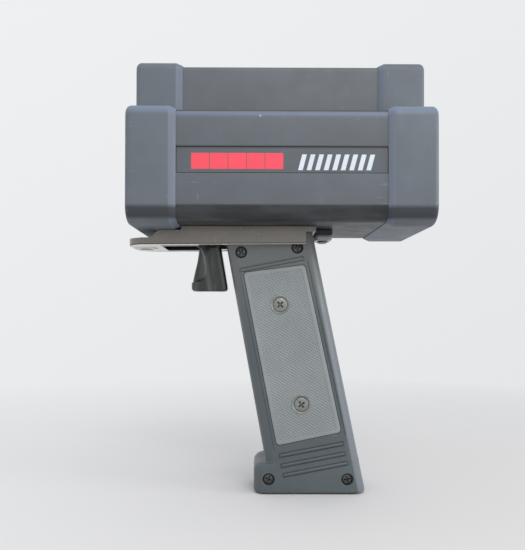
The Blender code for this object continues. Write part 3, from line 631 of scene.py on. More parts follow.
def printed_film(colour):
    """Label film printed in the housing's charcoal, a little smoother than it."""
    made, tree, shader, where = worn_surface("polyester_label_film", shade(colour, 0.9), 0.36, 0.7, 0.006,
                                             0.35)
    # painted shadow under the label groove's upper lip
    lip = between(tree, where, 2, GROOVE_Z[1] - 1.6, GROOVE_Z[1] - 0.4, GROOVE_Z[1] + 1, GROOVE_Z[1] + 2)
    darken(tree, shader, maths(tree, "MULTIPLY", lip, 0.75), shade(colour, 0.3))
    return made


def printed_ink(name, colour):
    """Screen-printed ink, thin at pinholes."""
    made, tree, shader, where = start(name)
    pinholes = level(tree, cloud(tree, where, 0.9, 3.0, 0.6), 0.66, 0.74, 0.0, 0.35)
    fade = level(tree, cloud(tree, where, 16, 3.0), 0.35, 0.65, 0.0, 0.14)
    base = blend_colour(tree, maths(tree, "MAXIMUM", pinholes, fade), colour, shade(colour, 0.55))
    link(tree, base, shader, "Base Color")
    shader.inputs["Roughness"].default_value = 0.4
    relief(tree, shader, pinholes, 0.02)
    return made


LOOKS = {}


def look(name):
    """The shared materials, each made when it is first asked for."""
    body, grip, metal = (getattr(bpy.context.scene, key) for key in ("gun_body", "gun_grip", "gun_metal"))
    makers = {
        "housing": lambda: anodised_aluminium(list(body.housing_colour)),
        "bezel": lambda: moulded_bezel(list(body.bezel_colour)),
        "label": lambda: printed_film(list(body.housing_colour)),
        "red": lambda: printed_ink("screen_print_red", list(body.stripe_colour)),
        "white": lambda: printed_ink("screen_print_white", list(body.print_colour)),
        "grip": lambda: painted_casting(list(grip.shell_colour)),
        "pad": lambda: moulded_pad(list(grip.pad_colour)),
        "bracket": lambda: bracket_metal(list(metal.bracket_colour)),
        "trigger": lambda: gloss_black(list(metal.trigger_colour)),
        "lens": coated_lens,
        "window": window_glass,
        "black": lambda: simple_surface("moulded_abs_black", linear("2b2c2d"), 0.45, 0.0, 0.4, 0.015),
        "rubber": lambda: simple_surface("moulded_rubber_black", linear("222222"), 0.75, 0.0, 0.5, 0.03),
        "guard": lambda: simple_surface("moulded_nylon_mid_grey", linear("9b99a0"), 0.22, 0.0, 0.8, 0.005),
        "key": lambda: simple_surface("silicone_key_grey", linear("8f9599"), 0.62, 0.0, 0.4, 0.015),
        "key_print": lambda: simple_surface("key_print_dark", linear("2a2d30"), 0.5),
        "steel": lambda: simple_surface("zinc_plated_steel", linear("8d8f90"), 0.34, 0.9, 0.5, 0.01),
        "pad_screw": lambda: simple_surface("nickel_plated_steel", linear("868883"), 0.42, 0.5, 0.5, 0.01),
        "dark_steel": lambda: simple_surface("blackened_steel", linear("565656"), 0.36, 0.6, 0.5, 0.015),
        "board": lambda: simple_surface("solder_mask_green", linear("1d5b39"), 0.35, 0.0, 1.2, 0.02),
        "battery": lambda: simple_surface("shrink_wrap_blue", linear("2c4a7a"), 0.35, 0.0, 2.0, 0.02),
        "lcd": lambda: simple_surface("reflective_lcd_grey_green", linear("8d9a88"), 0.3, 0.0, 3.0, 0.005),
        "lcd_ink": lambda: simple_surface("lcd_segment_dark", linear("3c453b"), 0.4),
    }
    if name not in LOOKS:
        LOOKS[name] = makers[name]()
    return LOOKS[name]


# ---------------------------------------------------------------- housing and bezels


WALL = 3.0  # thickness of the extrusion
SEAT_DEPTH = 7.8  # how far the housing's end goes into a bezel
END_WALL = 4.0
OPENING_ROUND = 4.0
# half width, lower edge and upper edge of the openings in a bezel's end wall
MAIN_OPENING, SIGHT_OPENING = (46.0, 183.0, 243.0), (13.0, 252.5, 285.0)


def section(offset=0.0, groove=0.0):
    """The body's inverted-T outline (Y, Z), grown outwards by offset, with a label groove of that depth."""
    low, high = span("main_housing")
    settings = bpy.context.scene.gun_body
    radii = [settings.bottom_round / MM, settings.shoulder_round / MM, settings.crown_round / MM]
    lower, upper, crown = (max(radius + offset, 0.8) for radius in radii)
    half, channel = high.y + offset, CHANNEL_HALF + offset
    bottom, shoulder, top = low.z - offset, SHOULDER_Z + offset, high.z + offset
    right = [(half, bottom, lower)]
    if groove:
        z0, z1 = GROOVE_Z
        floor = half - groove
        right += [(half, z0, 0.25), (floor, z0, 0.15), (floor, z1, 0.15), (half, z1, 0.25)]
    neck = max(NECK_ROUND - offset, 0.4)
    right += [(half, shoulder, upper), (channel, shoulder, neck), (channel, top, crown)]
    left = [(-y, z, radius) for y, z, radius in reversed(right)]
    return rounded(right + left)


def build_housing():
    low, high = span("main_housing")
    outer = prism(section(groove=1.0), "X", low.x, high.x)
    hollow = prism(section(-WALL), "X", low.x - 1, high.x + 1)
    piece("housing_extrusion", carve(outer, hollow), look("housing"), "charcoal_extrusion", ["main_housing"])


def opening_cutter(end, inward, opening):
    """Window opening through a bezel's end wall, with a rounded lip at the outer face."""
    half, low, high = opening
    rings = []
    for reach, grow in ((-2.0, 3.0), (0.0, 1.1), (0.35, 0.5), (0.8, 0.15), (1.4, 0.0), (6.0, 0.0)):
        outline = rectangle(-half - grow, half + grow, low - grow, high + grow, OPENING_ROUND + grow)
        rings.append([(end + inward * reach, y, z) for y, z in outline])
    return loft(rings)


def build_bezel(node, end, inward):
    """Bezel whose outer end is at X end. inward is 1 where the housing lies towards +X, and -1 for -X."""
    settings = bpy.context.scene.gun_body
    proud, chamfer = settings.bezel_proud / MM, settings.bezel_chamfer / MM
    edge = settings.bezel_round / MM
    low, high = span(node)
    seam = high.x if inward > 0 else low.x
    stations = [(seam, GAP)]
    stations += [(seam - inward * 0.25, GAP + 0.35), (seam - inward * (chamfer - 0.8), proud - 0.42)]
    stations += [(seam - inward * chamfer, proud - 0.1), (seam - inward * (chamfer + 0.9), proud)]
    for angle in arc_angles(90, FINE):
        reach = edge * (1 - math.sin(angle))
        stations.append((end + inward * reach, proud - edge * (1 - math.cos(angle))))
    rings = [[(x, y, z) for y, z in section(offset)] for x, offset in stations]
    step_x, wall_x = seam - inward * SEAT_DEPTH, end + inward * END_WALL
    shell = carve(
        loft(rings),
        prism(section(GAP), "X", *sorted((seam + inward, step_x))),
        prism(section(-2.5), "X", *sorted((seam, wall_x))),
        opening_cutter(end, inward, MAIN_OPENING),
        opening_cutter(end, inward, SIGHT_OPENING),
    )
    piece(node + "_moulding", shell, look("bezel"), "bezel_plastic", [node])


def build_label(side, word):
    """Label film in the groove, with a plain divided red bar and a row of plain slanted stripes."""
    low, high = span(f"side_label_{word}")
    face = low.y if side < 0 else high.y
    film = prism(rectangle(low.x, high.x, low.z, high.z, 0.6, 4), "Y", low.y, high.y)
    piece(f"label_film_{word}", film, look("label"), "label_print", [f"side_label_{word}"], bevel=0.1)
    ink = sorted((face - side * 0.02, face + side * 0.05))
    middle = (low.z + high.z) / 2 - 0.8
    start_x, bar, divisions, parting = low.x + 9.2, 57.2, 5, 0.4
    stripes_x, stripe_pitch, stripe_count = start_x + 66.4, 5.3, 9
    cell = (bar + parting) / divisions
    block = prism(rectangle(0, cell - parting, -5.0, 5.0, 0.15, 2), "Y", *ink)
    places = [(start_x + cell * i, 0, middle) for i in range(divisions)]
    copies(f"red_bar_{word}", block, places, look("red"), "label_print")
    slant, wide = 2.6, 2.9
    stripe = [(0, -4.9), (wide, -4.9), (wide + slant, 4.9), (slant, 4.9)]
    stripe = prism(stripe, "Y", *ink)
    places = [(stripes_x + stripe_pitch * i, 0, middle - 0.7) for i in range(stripe_count)]
    copies(f"white_stripes_{word}", stripe, places, look("white"), "label_print")


# ---------------------------------------------------------------- optics


CLEAR_RADIUS = {"receive": 19.5, "transmit": 16.0}


def optic_centre(word):
    low, high = span(f"{word}_barrel")
    return ((low.y + high.y) / 2, (low.z + high.z) / 2)


def build_optics():
    low, high = span("lens_plate")
    plate = prism(rectangle(low.y, high.y, low.z, high.z, 6.0), "X", low.x, high.x)
    cutters = []
    for word, clear in CLEAR_RADIUS.items():
        centre = optic_centre(word)
        rings = []
        for x, grow in ((low.x - 1, 2.4), (low.x, 1.4), (low.x + 1.2, 0.2), (high.x + 1, 0.2)):
            rings.append([(x, y, z) for y, z in circle(*centre, clear + grow)])
        cutters.append(loft(rings))
        build_optic(word, centre, clear, low.x)
    piece("lens_face_plate", carve(plate, *cutters), look("black"), "black_plastic", ["lens_plate"],
          bevel=0.15)


def build_optic(word, centre, clear, face):
    """Domed lens, retaining ring and a barrel with baffles."""
    low, high = span(f"{word}_lens")
    wide = (high.y - low.y) / 2
    widest = math.sin(math.radians(60))
    dome = [(wide * math.sin(a) / widest, low.x + 2.2 * (1 - math.cos(a))) for a in arc_angles(60, 12)]
    profile = [(0, low.x)] + dome[1:] + [(wide, high.x), (0, high.x)]
    piece(f"{word}_lens_glass", turned(profile, "X", centre, 96), look("lens"), "lens_glass",
          [f"{word}_lens"])
    ring = [(clear + 1.2, face - 0.5), (clear + 0.9, face - 0.8), (clear - 0.2, face - 0.7)]
    ring += [(clear - 0.7, face - 0.2), (clear - 0.7, face + 2.4), (clear + 1.2, face + 2.4)]
    piece(f"{word}_retaining_ring", turned(ring, "X", centre, 96), look("black"), "black_plastic")
    low, high = span(f"{word}_barrel")
    outer, inner, seat = (high.y - low.y) / 2, clear - 1.0, low.x + 6.3
    profile = [(outer, low.x), (outer, high.x), (inner, high.x), (inner, seat), (wide + GAP, seat)]
    profile += [(wide + GAP, low.x)]
    piece(f"{word}_barrel_tube", turned(profile, "X", centre), look("black"), "black_plastic",
          [f"{word}_barrel"])
    baffle = [(inner + 0.2, -0.3), (inner + 0.2, 0.3), (inner - 1.2, 0.05), (inner - 1.2, -0.05)]
    places = [(low.x + 9 + 4 * i, *centre) for i in range(8)]
    copies(f"{word}_baffles", turned(baffle, "X", (0, 0)), places, look("black"), "black_plastic")


# ---------------------------------------------------------------- control panel


# sides of each key's raised mark, where 2 is a bar and 24 a dot
MARK_SIDES = {1: 3, 2: 4, 3: 5, 4: 6, 5: 24, 6: 2}


def build_rear_panel():
    low, high = span("rear_plate")
    plate = prism(rectangle(low.y, high.y, low.z, high.z, 6.0), "X", low.x, high.x)
    w_low, w_high = span("display_window")
    cutters = [panel_hole(low.x, high.x, w_low, w_high, GAP, 3.0)]
    for number in range(1, 7):
        k_low, k_high = span(f"key_{number}")
        cutters.append(panel_hole(low.x, high.x, k_low, k_high, -0.6, 2.2))
    piece("control_panel_plate", carve(plate, *cutters), look("black"), "black_plastic", ["rear_plate"],
          bevel=0.15)
    window = rectangle(w_low.y, w_high.y, w_low.z, w_high.z, 2.7)
    piece("display_cover", prism(window, "X", w_low.x, w_high.x), look("window"), "window_glass",
          ["display_window"], bevel=0.3)
    build_display(w_low, w_high)
    for number in range(1, 7):
        build_key(number)


def panel_hole(x0, x1, low, high, grow, radius):
    outline = rectangle(low.y - grow, high.y + grow, low.z - grow, high.z + grow, radius)
    return prism(outline, "X", x0 - 1, x1 + 1)


def build_display(low, high):
    """Liquid-crystal panel behind the window, with three unlit seven-bar digits."""
    back = low.x - 0.75
    face = prism(rectangle(low.y + 3, high.y - 3, low.z + 2.5, high.z - 2.5, 1.0), "X", back - 0.1,
                 back + 0.25)
    piece("display_panel", face, look("lcd"), "circuit_board")
    tall, wide, thick, digit_pitch = 6.2, 6.6, 1.1, 14.0
    middle = (low.z + high.z) / 2
    flat, upright = [], []
    for y in (-digit_pitch, 0.0, digit_pitch):
        flat += [(back, y, middle + dz) for dz in (-tall, 0.0, tall)]
        for dy in (-wide / 2 - 0.5, wide / 2 + 0.5):
            upright += [(back, y + dy, middle + dz) for dz in (-tall / 2, tall / 2)]
    kinds = (("level", flat, wide / 2, thick / 2), ("upright", upright, thick / 2, tall / 2 - 0.5))
    for word, places, run, rise in kinds:
        bar = prism(rectangle(-run, run, -rise, rise, thick * 0.4, 3), "X", 0.2, 0.32)
        copies(f"digit_bars_{word}", bar, places, look("lcd_ink"), "circuit_board")


def build_key(number):
    """Silicone key with a crowned top and a plain raised mark."""
    node, body = f"key_{number}", f"key_{number}_body"
    low, high = span(node)
    y, z = (low.y + high.y) / 2, (low.z + high.z) / 2
    wide, tall = (high.y - low.y) / 2 - 1.0, (high.z - low.z) / 2 - 1.0
    stem = low.x + 0.8
    stations = [(stem, 1.0), (stem + 1.2, 1.0), (stem + 1.2, 0.0), (high.x - 0.9, 0.0)]
    stations += [(high.x - 0.9 + 0.9 * math.sin(a), math.cos(a) - 1) for a in arc_angles(80, 6)[1:]]
    rings = []
    for x, grow in stations:
        run, rise, radius = wide + grow, tall + grow, max(2.0 + grow, 0.8)
        rings.append([(x, u, v) for u, v in rectangle(y - run, y + run, z - rise, z + rise, radius, 6)])
    post = turned([(0, low.x), (2.0, low.x), (2.0, stem + 0.5), (0, stem + 0.5)], "X", (y, z), 24)
    piece(f"{node}_cap", carve(loft(rings), post, operation="UNION"), look("key"), "key_rubber", [node], body)
    sides, radius = MARK_SIDES[number], 1.9
    if sides == 2:
        shape = rectangle(y - 3.0, y + 3.0, z - 0.5, z + 0.5, 0.3, 3)
    else:
        angles = [math.tau * i / sides + 0.5236 for i in range(sides)]
        shape = [(y + radius * math.cos(a), z + radius * math.sin(a)) for a in angles]
    mark = prism(shape, "X", high.x - 0.15, high.x)
    piece(f"{node}_mark", mark, look("key_print"), "black_plastic", body=body)


# ---------------------------------------------------------------- bracket and latch


TAB_RING = 0.6  # height of the seat ring round the tab's hole
TAB_THICK = 4.7
TAB_BASE, TAB_BEND, RAMP_END = -112.0, -105.3, -100.6  # X where the side view starts, climbs and levels out
NOSE_BACK, NOSE_ROUND = -106.0, 15.0
HOLE_X, HOLE_RADIUS, RING_RADIUS = -112.8, 5.0, 8.0
WEB_Z = 174.9  # underside of the web
RAIL_BACK = -3.1
RAIL_INSIDE = 23.5  # half the distance between the rails
RAIL_RISE = 0.9  # how much the rails' lower edges rise towards the back
RAIL_SLOPE = RAIL_RISE / (RAIL_BACK - TAB_BASE)
SLOT_X, SLOT_HALF = (-99.7, -57.0), 14.0  # open slot for the trigger
GRIP_OPENING_X, GRIP_OPENING_HALF = -59.5, 21.6
SINK_Z = (174.0, 177.0)  # countersink of the bracket's screws, from its wide end to its narrow end
BUTTON_POCKET = (2.85, 2.7)  # radius and depth of the spring's pocket in the release button


def build_bracket():
    low, high = span("handle_bracket")
    settings = bpy.context.scene.gun_metal
    under = low.z + TAB_RING
    plate, half = under + TAB_THICK, high.y
    seam = span("front_bezel")[1].x + GAP
    bezel_under = span("front_bezel")[0].z - GAP
    side_view = [
        (TAB_BASE, under), (TAB_BASE, plate), (TAB_BEND, plate), (RAMP_END, bezel_under), (seam, bezel_under),
        (seam, high.z), (high.x, high.z), (high.x, WEB_Z), (RAIL_BACK, WEB_Z), (RAIL_BACK, under + RAIL_RISE),
    ]
    nose = [(low.x, -half, NOSE_ROUND), (NOSE_BACK, -half, 0), (NOSE_BACK, half, 0),
            (low.x, half, NOSE_ROUND)]
    body = carve(
        prism(side_view, "Y", -half, half),
        prism(rounded(nose, 16), "Z", under, plate),
        prism(circle(HOLE_X, 0, RING_RADIUS), "Z", low.z, under + 1),
        operation="UNION",
    )
    slot_front, slot_back = SLOT_X
    cutters = [
        prism(circle(HOLE_X, 0, HOLE_RADIUS), "Z", under - 5, plate + 5),
        box((-97.0, -RAIL_INSIDE, plate), (0.0, RAIL_INSIDE, WEB_Z)),
        box((slot_front, -SLOT_HALF, 160.0), (slot_back, SLOT_HALF, WEB_Z - 0.01), 3.0),
        box((slot_front, -SLOT_HALF, 172.0), (seam - 2.0, SLOT_HALF, 180.0), 3.0),
        box((GRIP_OPENING_X, -GRIP_OPENING_HALF, 160.0), (0.0, GRIP_OPENING_HALF, plate + 1)),
    ]
    wide, narrow = SINK_Z
    sink = [(0, wide), (4.3, wide), (1.9, narrow), (1.9, 180.0), (0, 180.0)]
    for number in range(1, 5):
        s_low, s_high = span(f"bracket_screw_{number}")
        centre = ((s_low.x + s_high.x) / 2, (s_low.y + s_high.y) / 2)
        cutters.append(turned(sink, "Z", centre, 32))
    piece("bracket_channel", carve(body, *cutters), look("bracket"), "bracket_metal", ["handle_bracket"],
          bevel=settings.edge / MM)


def slot_outline(low, high, inset):
    """Outline with round ends that fills the box from low to high, less inset."""
    radius = min(high.x - low.x, high.y - low.y) / 2 - inset
    return rectangle(low.x + inset, high.x - inset, low.y + inset, high.y - inset, radius * 0.98, 12)


def build_latch():
    """Release button in a black surround, with a rounded guard under it."""
    low, high = span("latch_collar")
    b_low, b_high = span("release_button")
    seam = low.z + 3.6
    surround = prism(rectangle(low.x, high.x, low.y, high.y, 1.6), "Z", seam + 0.15, high.z)
    rings = []
    for z, inset in ((seam, 0.9), (seam - 0.7, 0.45), (seam - 1.5, 0.3), (seam - 2.4, 0.45),
                     (seam - 3.1, 0.9), (seam - 3.45, 1.3), (low.z, 1.9)):
        outline = rectangle(low.x + inset * 0.6, high.x - inset * 0.6, low.y + inset, high.y - inset, 2.6)
        rings.append([(x, y, z) for x, y in outline])
    bored = []
    for body in (surround, loft(rings)):
        bored.append(carve(body, prism(slot_outline(b_low, b_high, -0.4), "Z", low.z - 1, high.z + 1)))
    piece("latch_surround", bored[0], look("black"), "black_plastic", ["latch_collar"], bevel=0.4)
    piece("latch_guard", bored[1], look("guard"), "black_plastic")
    soft = 1.1
    rings = [[(x, y, b_high.z) for x, y in slot_outline(b_low, b_high, 0)]]
    for angle in arc_angles(80, 6):
        inset, z = soft * (1 - math.cos(angle)), b_low.z + soft * (1 - math.sin(angle))
        rings.append([(x, y, z) for x, y in slot_outline(b_low, b_high, inset)])
    rings.append([(x, y, b_low.z) for x, y in slot_outline(b_low, b_high, 1.2)])
    radius, depth = BUTTON_POCKET
    floor, top = b_high.z - depth, b_high.z + 1
    centre = ((b_low.x + b_high.x) / 2, 0.0)
    pocket = turned([(0, floor), (radius, floor), (radius, top), (0, top)], "Z", centre, 32)
    button = carve(loft(rings), pocket)
    piece("latch_push_button", button, look("dark_steel"), "dark_steel", ["release_button"], "latch_body")


# ---------------------------------------------------------------- grip


# (X, Z, how far X moves back for each millimetre down) of the grip's front and rear edges
FRONT_LINE, REAR_LINE = (-56.3, 167.0, 0.1836), (3.7, 168.0, 0.205)
GRIP_HALF = 21.0  # half the grip's thickness
TOE_X, TOE_Z, TOE_ROUND = -37.4, 20.8, 5.4
RIB_REACH, RIB_WIDE, RIB_LEAN = 21.6, 2.2, math.radians(11.0)
RIB_TRENCH = (3.3, 0.55)  # width and depth of the hollow that each rib stands in
RIB_CENTRES = ((1.0, 0, 30.0), (2.1, 0, 23.3), (3.65, 0, 17.0), (-25.5, 0, 153.5))
CUP_RADIUS = 6.1  # the knurl stops here round each pad screw
SHORTEST_RIDGE = 0.6
PAD_CORNERS = ((-44.6, 147.9), (-3.5, 153.4), (20.9, 41.7), (-22.1, 32.7))
LEDGE = (2.3, 0.8, 0.5)  # line along the pad's long sides: its distance from the pad, width and depth
SOCKET_Z, SOCKET_RADIUS = 10.0, 5.5
CHEEK_Y = (7.9, 13.7)  # inner and outer face of the lugs that hold the trigger's pin
PIN_HOLE = 1.8
SWITCH_POCKET = ((-64.0, -5.3, 164.9), (-46.7, 5.3, 176.0))
# clamp screws' holes in the left and the right shell, as (radius, Y)
LEFT_BORE = ((0, 1.0), (1.8, 1.0), (1.8, -17.6), (4.0, -17.6), (4.0, -20.7), (4.5, -21.2), (4.5, -23),
             (0, -23))
RIGHT_BORE = ((0, -1.0), (1.8, -1.0), (1.8, 10.6), (0, 10.6))


def on_line(line, z):
    x0, z0, lean = line
    return x0 + (z0 - z) * lean


def half_ring(z, front, rear, half, side, near, corner, crease=16.0):
    """Half of a rounded rectangle at height z. The straps leave the flat side at a slight crease."""
    run, rise = corner
    first = math.radians(crease)
    front_curve, rear_curve = [], []
    for step in range(FINE + 1):
        angle = first + (math.pi / 2 - first) * step / FINE
        out = (math.sin(angle) - math.sin(first)) / (1 - math.sin(first))
        drop = 1 - math.cos(angle) / math.cos(first)
        y = side * (half - rise * drop)
        front_curve.append((front + run * (1 - out), y, z))
        rear_curve.append((rear - run * (1 - out), y, z))
    return [(front, side * near, z), *reversed(front_curve), *rear_curve, (rear, side * near, z)]


def grip_stations(foot):
    """Height, front edge, rear edge and half thickness of the grip's sections, from its foot up."""
    stations = []
    for angle in arc_angles(90, 6):
        inset = 1 - math.sin(angle)
        z = foot + 1.6 * (1 - math.cos(angle))
        stations.append((z, TOE_X + 1.8 * inset, on_line(REAR_LINE, z) - 3.4 * inset,
                         GRIP_HALF - 1.5 * inset))
    stations.append((6.0, TOE_X, on_line(REAR_LINE, 6.0), GRIP_HALF))
    for angle in arc_angles(90, 8):
        z = TOE_Z - TOE_ROUND * (1 - math.sin(angle))
        stations.append((z, TOE_X + TOE_ROUND * (1 - math.cos(angle)), on_line(REAR_LINE, z), GRIP_HALF))
    front, rear = on_line(FRONT_LINE, TOE_Z), on_line(REAR_LINE, TOE_Z)
    stations += [(TOE_Z + 0.25, front - 0.9, rear, GRIP_HALF), (TOE_Z + 1.1, front - 0.2, rear, GRIP_HALF)]
    for z in (24.0, 70.0, 120.0, span("handle_shell_left")[1].z):
        stations.append((z, on_line(FRONT_LINE, z), on_line(REAR_LINE, z), GRIP_HALF))
    return stations


def pad_outline(grow, radius):
    """The pad's outline with its straight sides moved outwards by grow."""
    moved = []
    for index, corner in enumerate(PAD_CORNERS):
        here = Vector(corner)
        back = (Vector(PAD_CORNERS[index - 1]) - here).normalized()
        ahead = (Vector(PAD_CORNERS[(index + 1) % 4]) - here).normalized()
        half = back.angle(ahead) / 2
        moved.append((*(here - (back + ahead).normalized() * grow / math.sin(half)), radius))
    return moved


def screw_centre(node):
    low, high = span(node)
    return ((low.x + high.x) / 2, (low.z + high.z) / 2)


def line_groove(start, end, wide, side, depth):
    """Cutter for an engraved line from start to end on the grip's side."""
    a, b = Vector(start), Vector(end)
    along = (b - a).normalized()
    over = Vector((-along.y, along.x)) * wide / 2
    corners = [a - over, b - over, b + over, a + over]
    return prism([tuple(c) for c in corners], "Y",
                 *sorted((side * (GRIP_HALF - depth), side * (GRIP_HALF + 2))))


def build_shell(side, word):
    low, high = span(f"handle_shell_{word}")
    settings = bpy.context.scene.gun_grip
    corner = (settings.strap_run / MM, settings.strap_rise / MM)
    rings = [half_ring(*station, side, 0.15, corner) for station in grip_stations(low.z)]
    hollow = [half_ring(z, on_line(FRONT_LINE, z) + 4, on_line(REAR_LINE, z) - 4, 16.5, side, -1.0, (4, 5))
              for z in (18.0, 154.0)]
    cheek = sorted(side * y for y in CHEEK_Y)
    shell = carve(
        loft(rings),
        box((-80.0, cheek[0], 168.0), (-50.0, cheek[1], high.z), 2.0, "Y"),
        operation="UNION",
    )
    f_low, f_high = span("foot_pad")
    foot = rectangle(f_low.x - GAP, f_high.x + GAP, f_low.y - GAP, f_high.y + GAP, 5.3)
    pad_floor = sorted((side * 19.2, side * (GRIP_HALF + 2)))
    socket = SOCKET_RADIUS + GAP
    pin = screw_centre("trigger_pin")
    cutters = [
        loft(hollow),
        prism(rounded(pad_outline(GAP, 2.6), 8), "Y", *pad_floor),
        prism(foot, "Z", -1.0, 2.6),
        prism(circle(*pin, PIN_HOLE, 32), "Y", *sorted((0, side * 13.0))),
        box(*SWITCH_POCKET),
        turned([(0, -44.0), (socket, -44.0), (socket, -29.6), (0, -29.6)], "X", (0.0, SOCKET_Z), 40),
    ]
    away, wide, depth = LEDGE
    top_left, top_right, low_right, low_left = (Vector(c[:2]) for c in pad_outline(away, 0))
    cutters.append(line_groove(top_left, low_left, wide, side, depth))
    cutters.append(line_groove(top_right, low_right, wide, side, depth))
    wide, depth = RIB_TRENCH
    way = Vector((math.cos(RIB_LEAN), math.sin(RIB_LEAN))) * (RIB_REACH + 0.4)
    for x, _, z in RIB_CENTRES:
        cutters.append(line_groove(Vector((x, z)) - way, Vector((x, z)) + way, wide, side, depth))
    for number in (1, 2):
        x, z = screw_centre(f"grip_screw_{word}_{number}")
        cutters.append(prism(circle(x, z, 2.4, 24), "Y", *sorted((side * 15.0, side * 20.0))))
    for number in range(1, 5):
        bore = LEFT_BORE if side < 0 else RIGHT_BORE
        cutters.append(turned(bore, "Y", screw_centre(f"handle_screw_{number}"), 48))
    shell = carve(shell, *cutters)
    piece(f"grip_shell_{word}", shell, look("grip"), "grip_paint", [f"handle_shell_{word}"], sharp=26)
    build_ribs(side, word)


def build_ribs(side, word):
    """Three half-round ribs under the pad and one above it."""
    rings = []
    for angle in arc_angles(75, 6):
        grow = RIB_WIDE / 2 * math.cos(angle)
        outline = rectangle(1 - RIB_REACH - grow, RIB_REACH - 1 + grow, -grow, grow, grow * 0.98, 6)
        rings.append([(x, side * (GRIP_HALF - 0.4 + 1.2 * math.sin(angle)), z) for x, z in outline])
    bar = loft(rings)
    bmesh.ops.rotate(bar, verts=bar.verts, matrix=Matrix.Rotation(-RIB_LEAN, 3, "Y"))
    copies(f"grip_ribs_{word}", bar, RIB_CENTRES, look("grip"), "grip_paint")


def build_pad(side, word):
    """Pad with a plain border, a floor of diamonds and two dished cups for its screws."""
    node = f"grip_pad_{word}"
    settings = bpy.context.scene.gun_grip
    rise, border = settings.knurl_height / MM, settings.border / MM
    low, high = span(node)
    inside, face = (high.y, low.y) if side < 0 else (low.y, high.y)
    floor = face - side * rise
    rings = []
    for y, grow in ((inside, 0.0), (face - side * 0.5, 0.0), (face - side * 0.15, -0.15), (face, -0.5)):
        rings.append([(x, y, z) for x, z in rounded(pad_outline(grow, 2.5 + grow), 8)])
    plate = loft(rings)
    well = rounded(pad_outline(-border, 1.0), 4)
    cutters = [prism(well, "Y", *sorted((floor, face + side)))]
    screws = [screw_centre(f"grip_screw_{word}_{number}") for number in (1, 2)]
    for x, z in screws:
        cutters.append(prism(circle(x, z, 5.9), "Y", *sorted((side * 20.2, side * 24))))
        cutters.append(prism(circle(x, z, 2.4, 24), "Y", *sorted((side * 18, side * 21))))
    piece(node + "_plate", carve(plate, *cutters), look("pad"), "grip_pad", [node])
    build_knurl(node, side, floor, screws)
    cup = [(6.5, -0.5), (6.5, 0.05), (6.3, 0.15), (5.9, 0.15), (5.0, -0.5), (4.9, -0.95), (2.3, -0.95)]
    cup += [(2.3, -1.2), (5.6, -1.2), (5.8, -0.5)]
    cup = [(r, side * (h + abs(face))) for r, h in cup]
    places = [(x, 0, z) for x, z in screws]
    copies(f"{node}_cups", turned(cup, "Y", (0, 0)), places, look("pad_screw"), "steel")


def build_knurl(node, side, floor, screws):
    """Two families of long ridges that cross on the pad. The first stands higher, so it shows more."""
    settings = bpy.context.scene.gun_grip
    pitch, rise, border = (v / MM for v in (settings.knurl_pitch, settings.knurl_height, settings.border))
    field = [Vector(corner[:2]) for corner in pad_outline(0.8 - border, 0)]
    for family, degrees, height in (("falling", -31.0, rise - 0.03), ("rising", 53.0, rise * 0.72)):
        turn = math.radians(degrees)
        along, over = Vector((math.cos(turn), math.sin(turn))), Vector((-math.sin(turn), math.cos(turn)))
        reaches = [corner.dot(over) for corner in field]
        places, lengths = [], []
        for row in range(math.ceil(min(reaches) / pitch), math.floor(max(reaches) / pitch) + 1):
            for low, high in ridge_parts(field, along, over, row * pitch, screws):
                centre = over * row * pitch + along * (low + high) / 2
                places.append((centre.x, floor, centre.y))
                lengths.append((high - low, 1, 1))
        rings = []
        for y, half in ((-0.1, 0.5), (0.0, 0.5), (height * 0.8, 0.17), (height, 0.07)):
            corners = ((-0.5, -half * pitch), (0.5, -half * pitch), (0.5, half * pitch), (-0.5, half * pitch))
            rings.append([(x, side * y, z) for x, z in corners])
        copies(f"{node}_{family}_ridges", loft(rings), places, look("pad"), "grip_pad", turn=(0, -turn, 0),
               stretch=lengths, sharp=50)


def ridge_parts(field, along, over, offset, screws):
    """The stretches of one ridge's line inside the convex field, less what the screw cups take."""
    ends = []
    for index, corner in enumerate(field):
        last = field[index - 1]
        a, b = last.dot(over) - offset, corner.dot(over) - offset
        if (a > 0) != (b > 0):
            ends.append((last + (corner - last) * a / (a - b)).dot(along))
    if len(ends) < 2:
        return []
    parts = [(min(ends), max(ends))]
    for screw in map(Vector, screws):
        away = screw.dot(over) - offset
        if abs(away) >= CUP_RADIUS:
            continue
        half, middle = math.sqrt(CUP_RADIUS**2 - away**2), screw.dot(along)
        before = [(low, min(high, middle - half)) for low, high in parts]
        after = [(max(low, middle + half), high) for low, high in parts]
        parts = [part for pair in zip(before, after) for part in pair]
    return [(low, high) for low, high in parts if high - low > SHORTEST_RIDGE]


def build_foot():
    """Rubber foot under the grip, and the power inlet in the front of its toe."""
    low, high = span("foot_pad")
    rings = []
    for z, inset in ((high.z, 0), (low.z + 0.5, 0), (low.z + 0.12, 0.15), (low.z, 0.5)):
        outline = rectangle(low.x + inset, high.x - inset, low.y + inset, high.y - inset, 5.0 - inset)
        rings.append([(x, y, z) for x, y in outline])
    piece("rubber_foot", loft(rings), look("rubber"), "black_rubber", ["foot_pad"])
    face, back = (corner.x for corner in span("power_socket"))
    profile = [(0, back), (SOCKET_RADIUS, back), (SOCKET_RADIUS, face + 0.3), (SOCKET_RADIUS - 0.3, face)]
    profile += [(4.2, face), (3.8, face + 0.4), (3.8, face + 5.5), (0, face + 5.5)]
    piece("power_inlet", turned(profile, "X", (0.0, SOCKET_Z)), look("black"), "black_plastic",
          ["power_socket"])


# ---------------------------------------------------------------- trigger


BLADE_TOP = 167.0
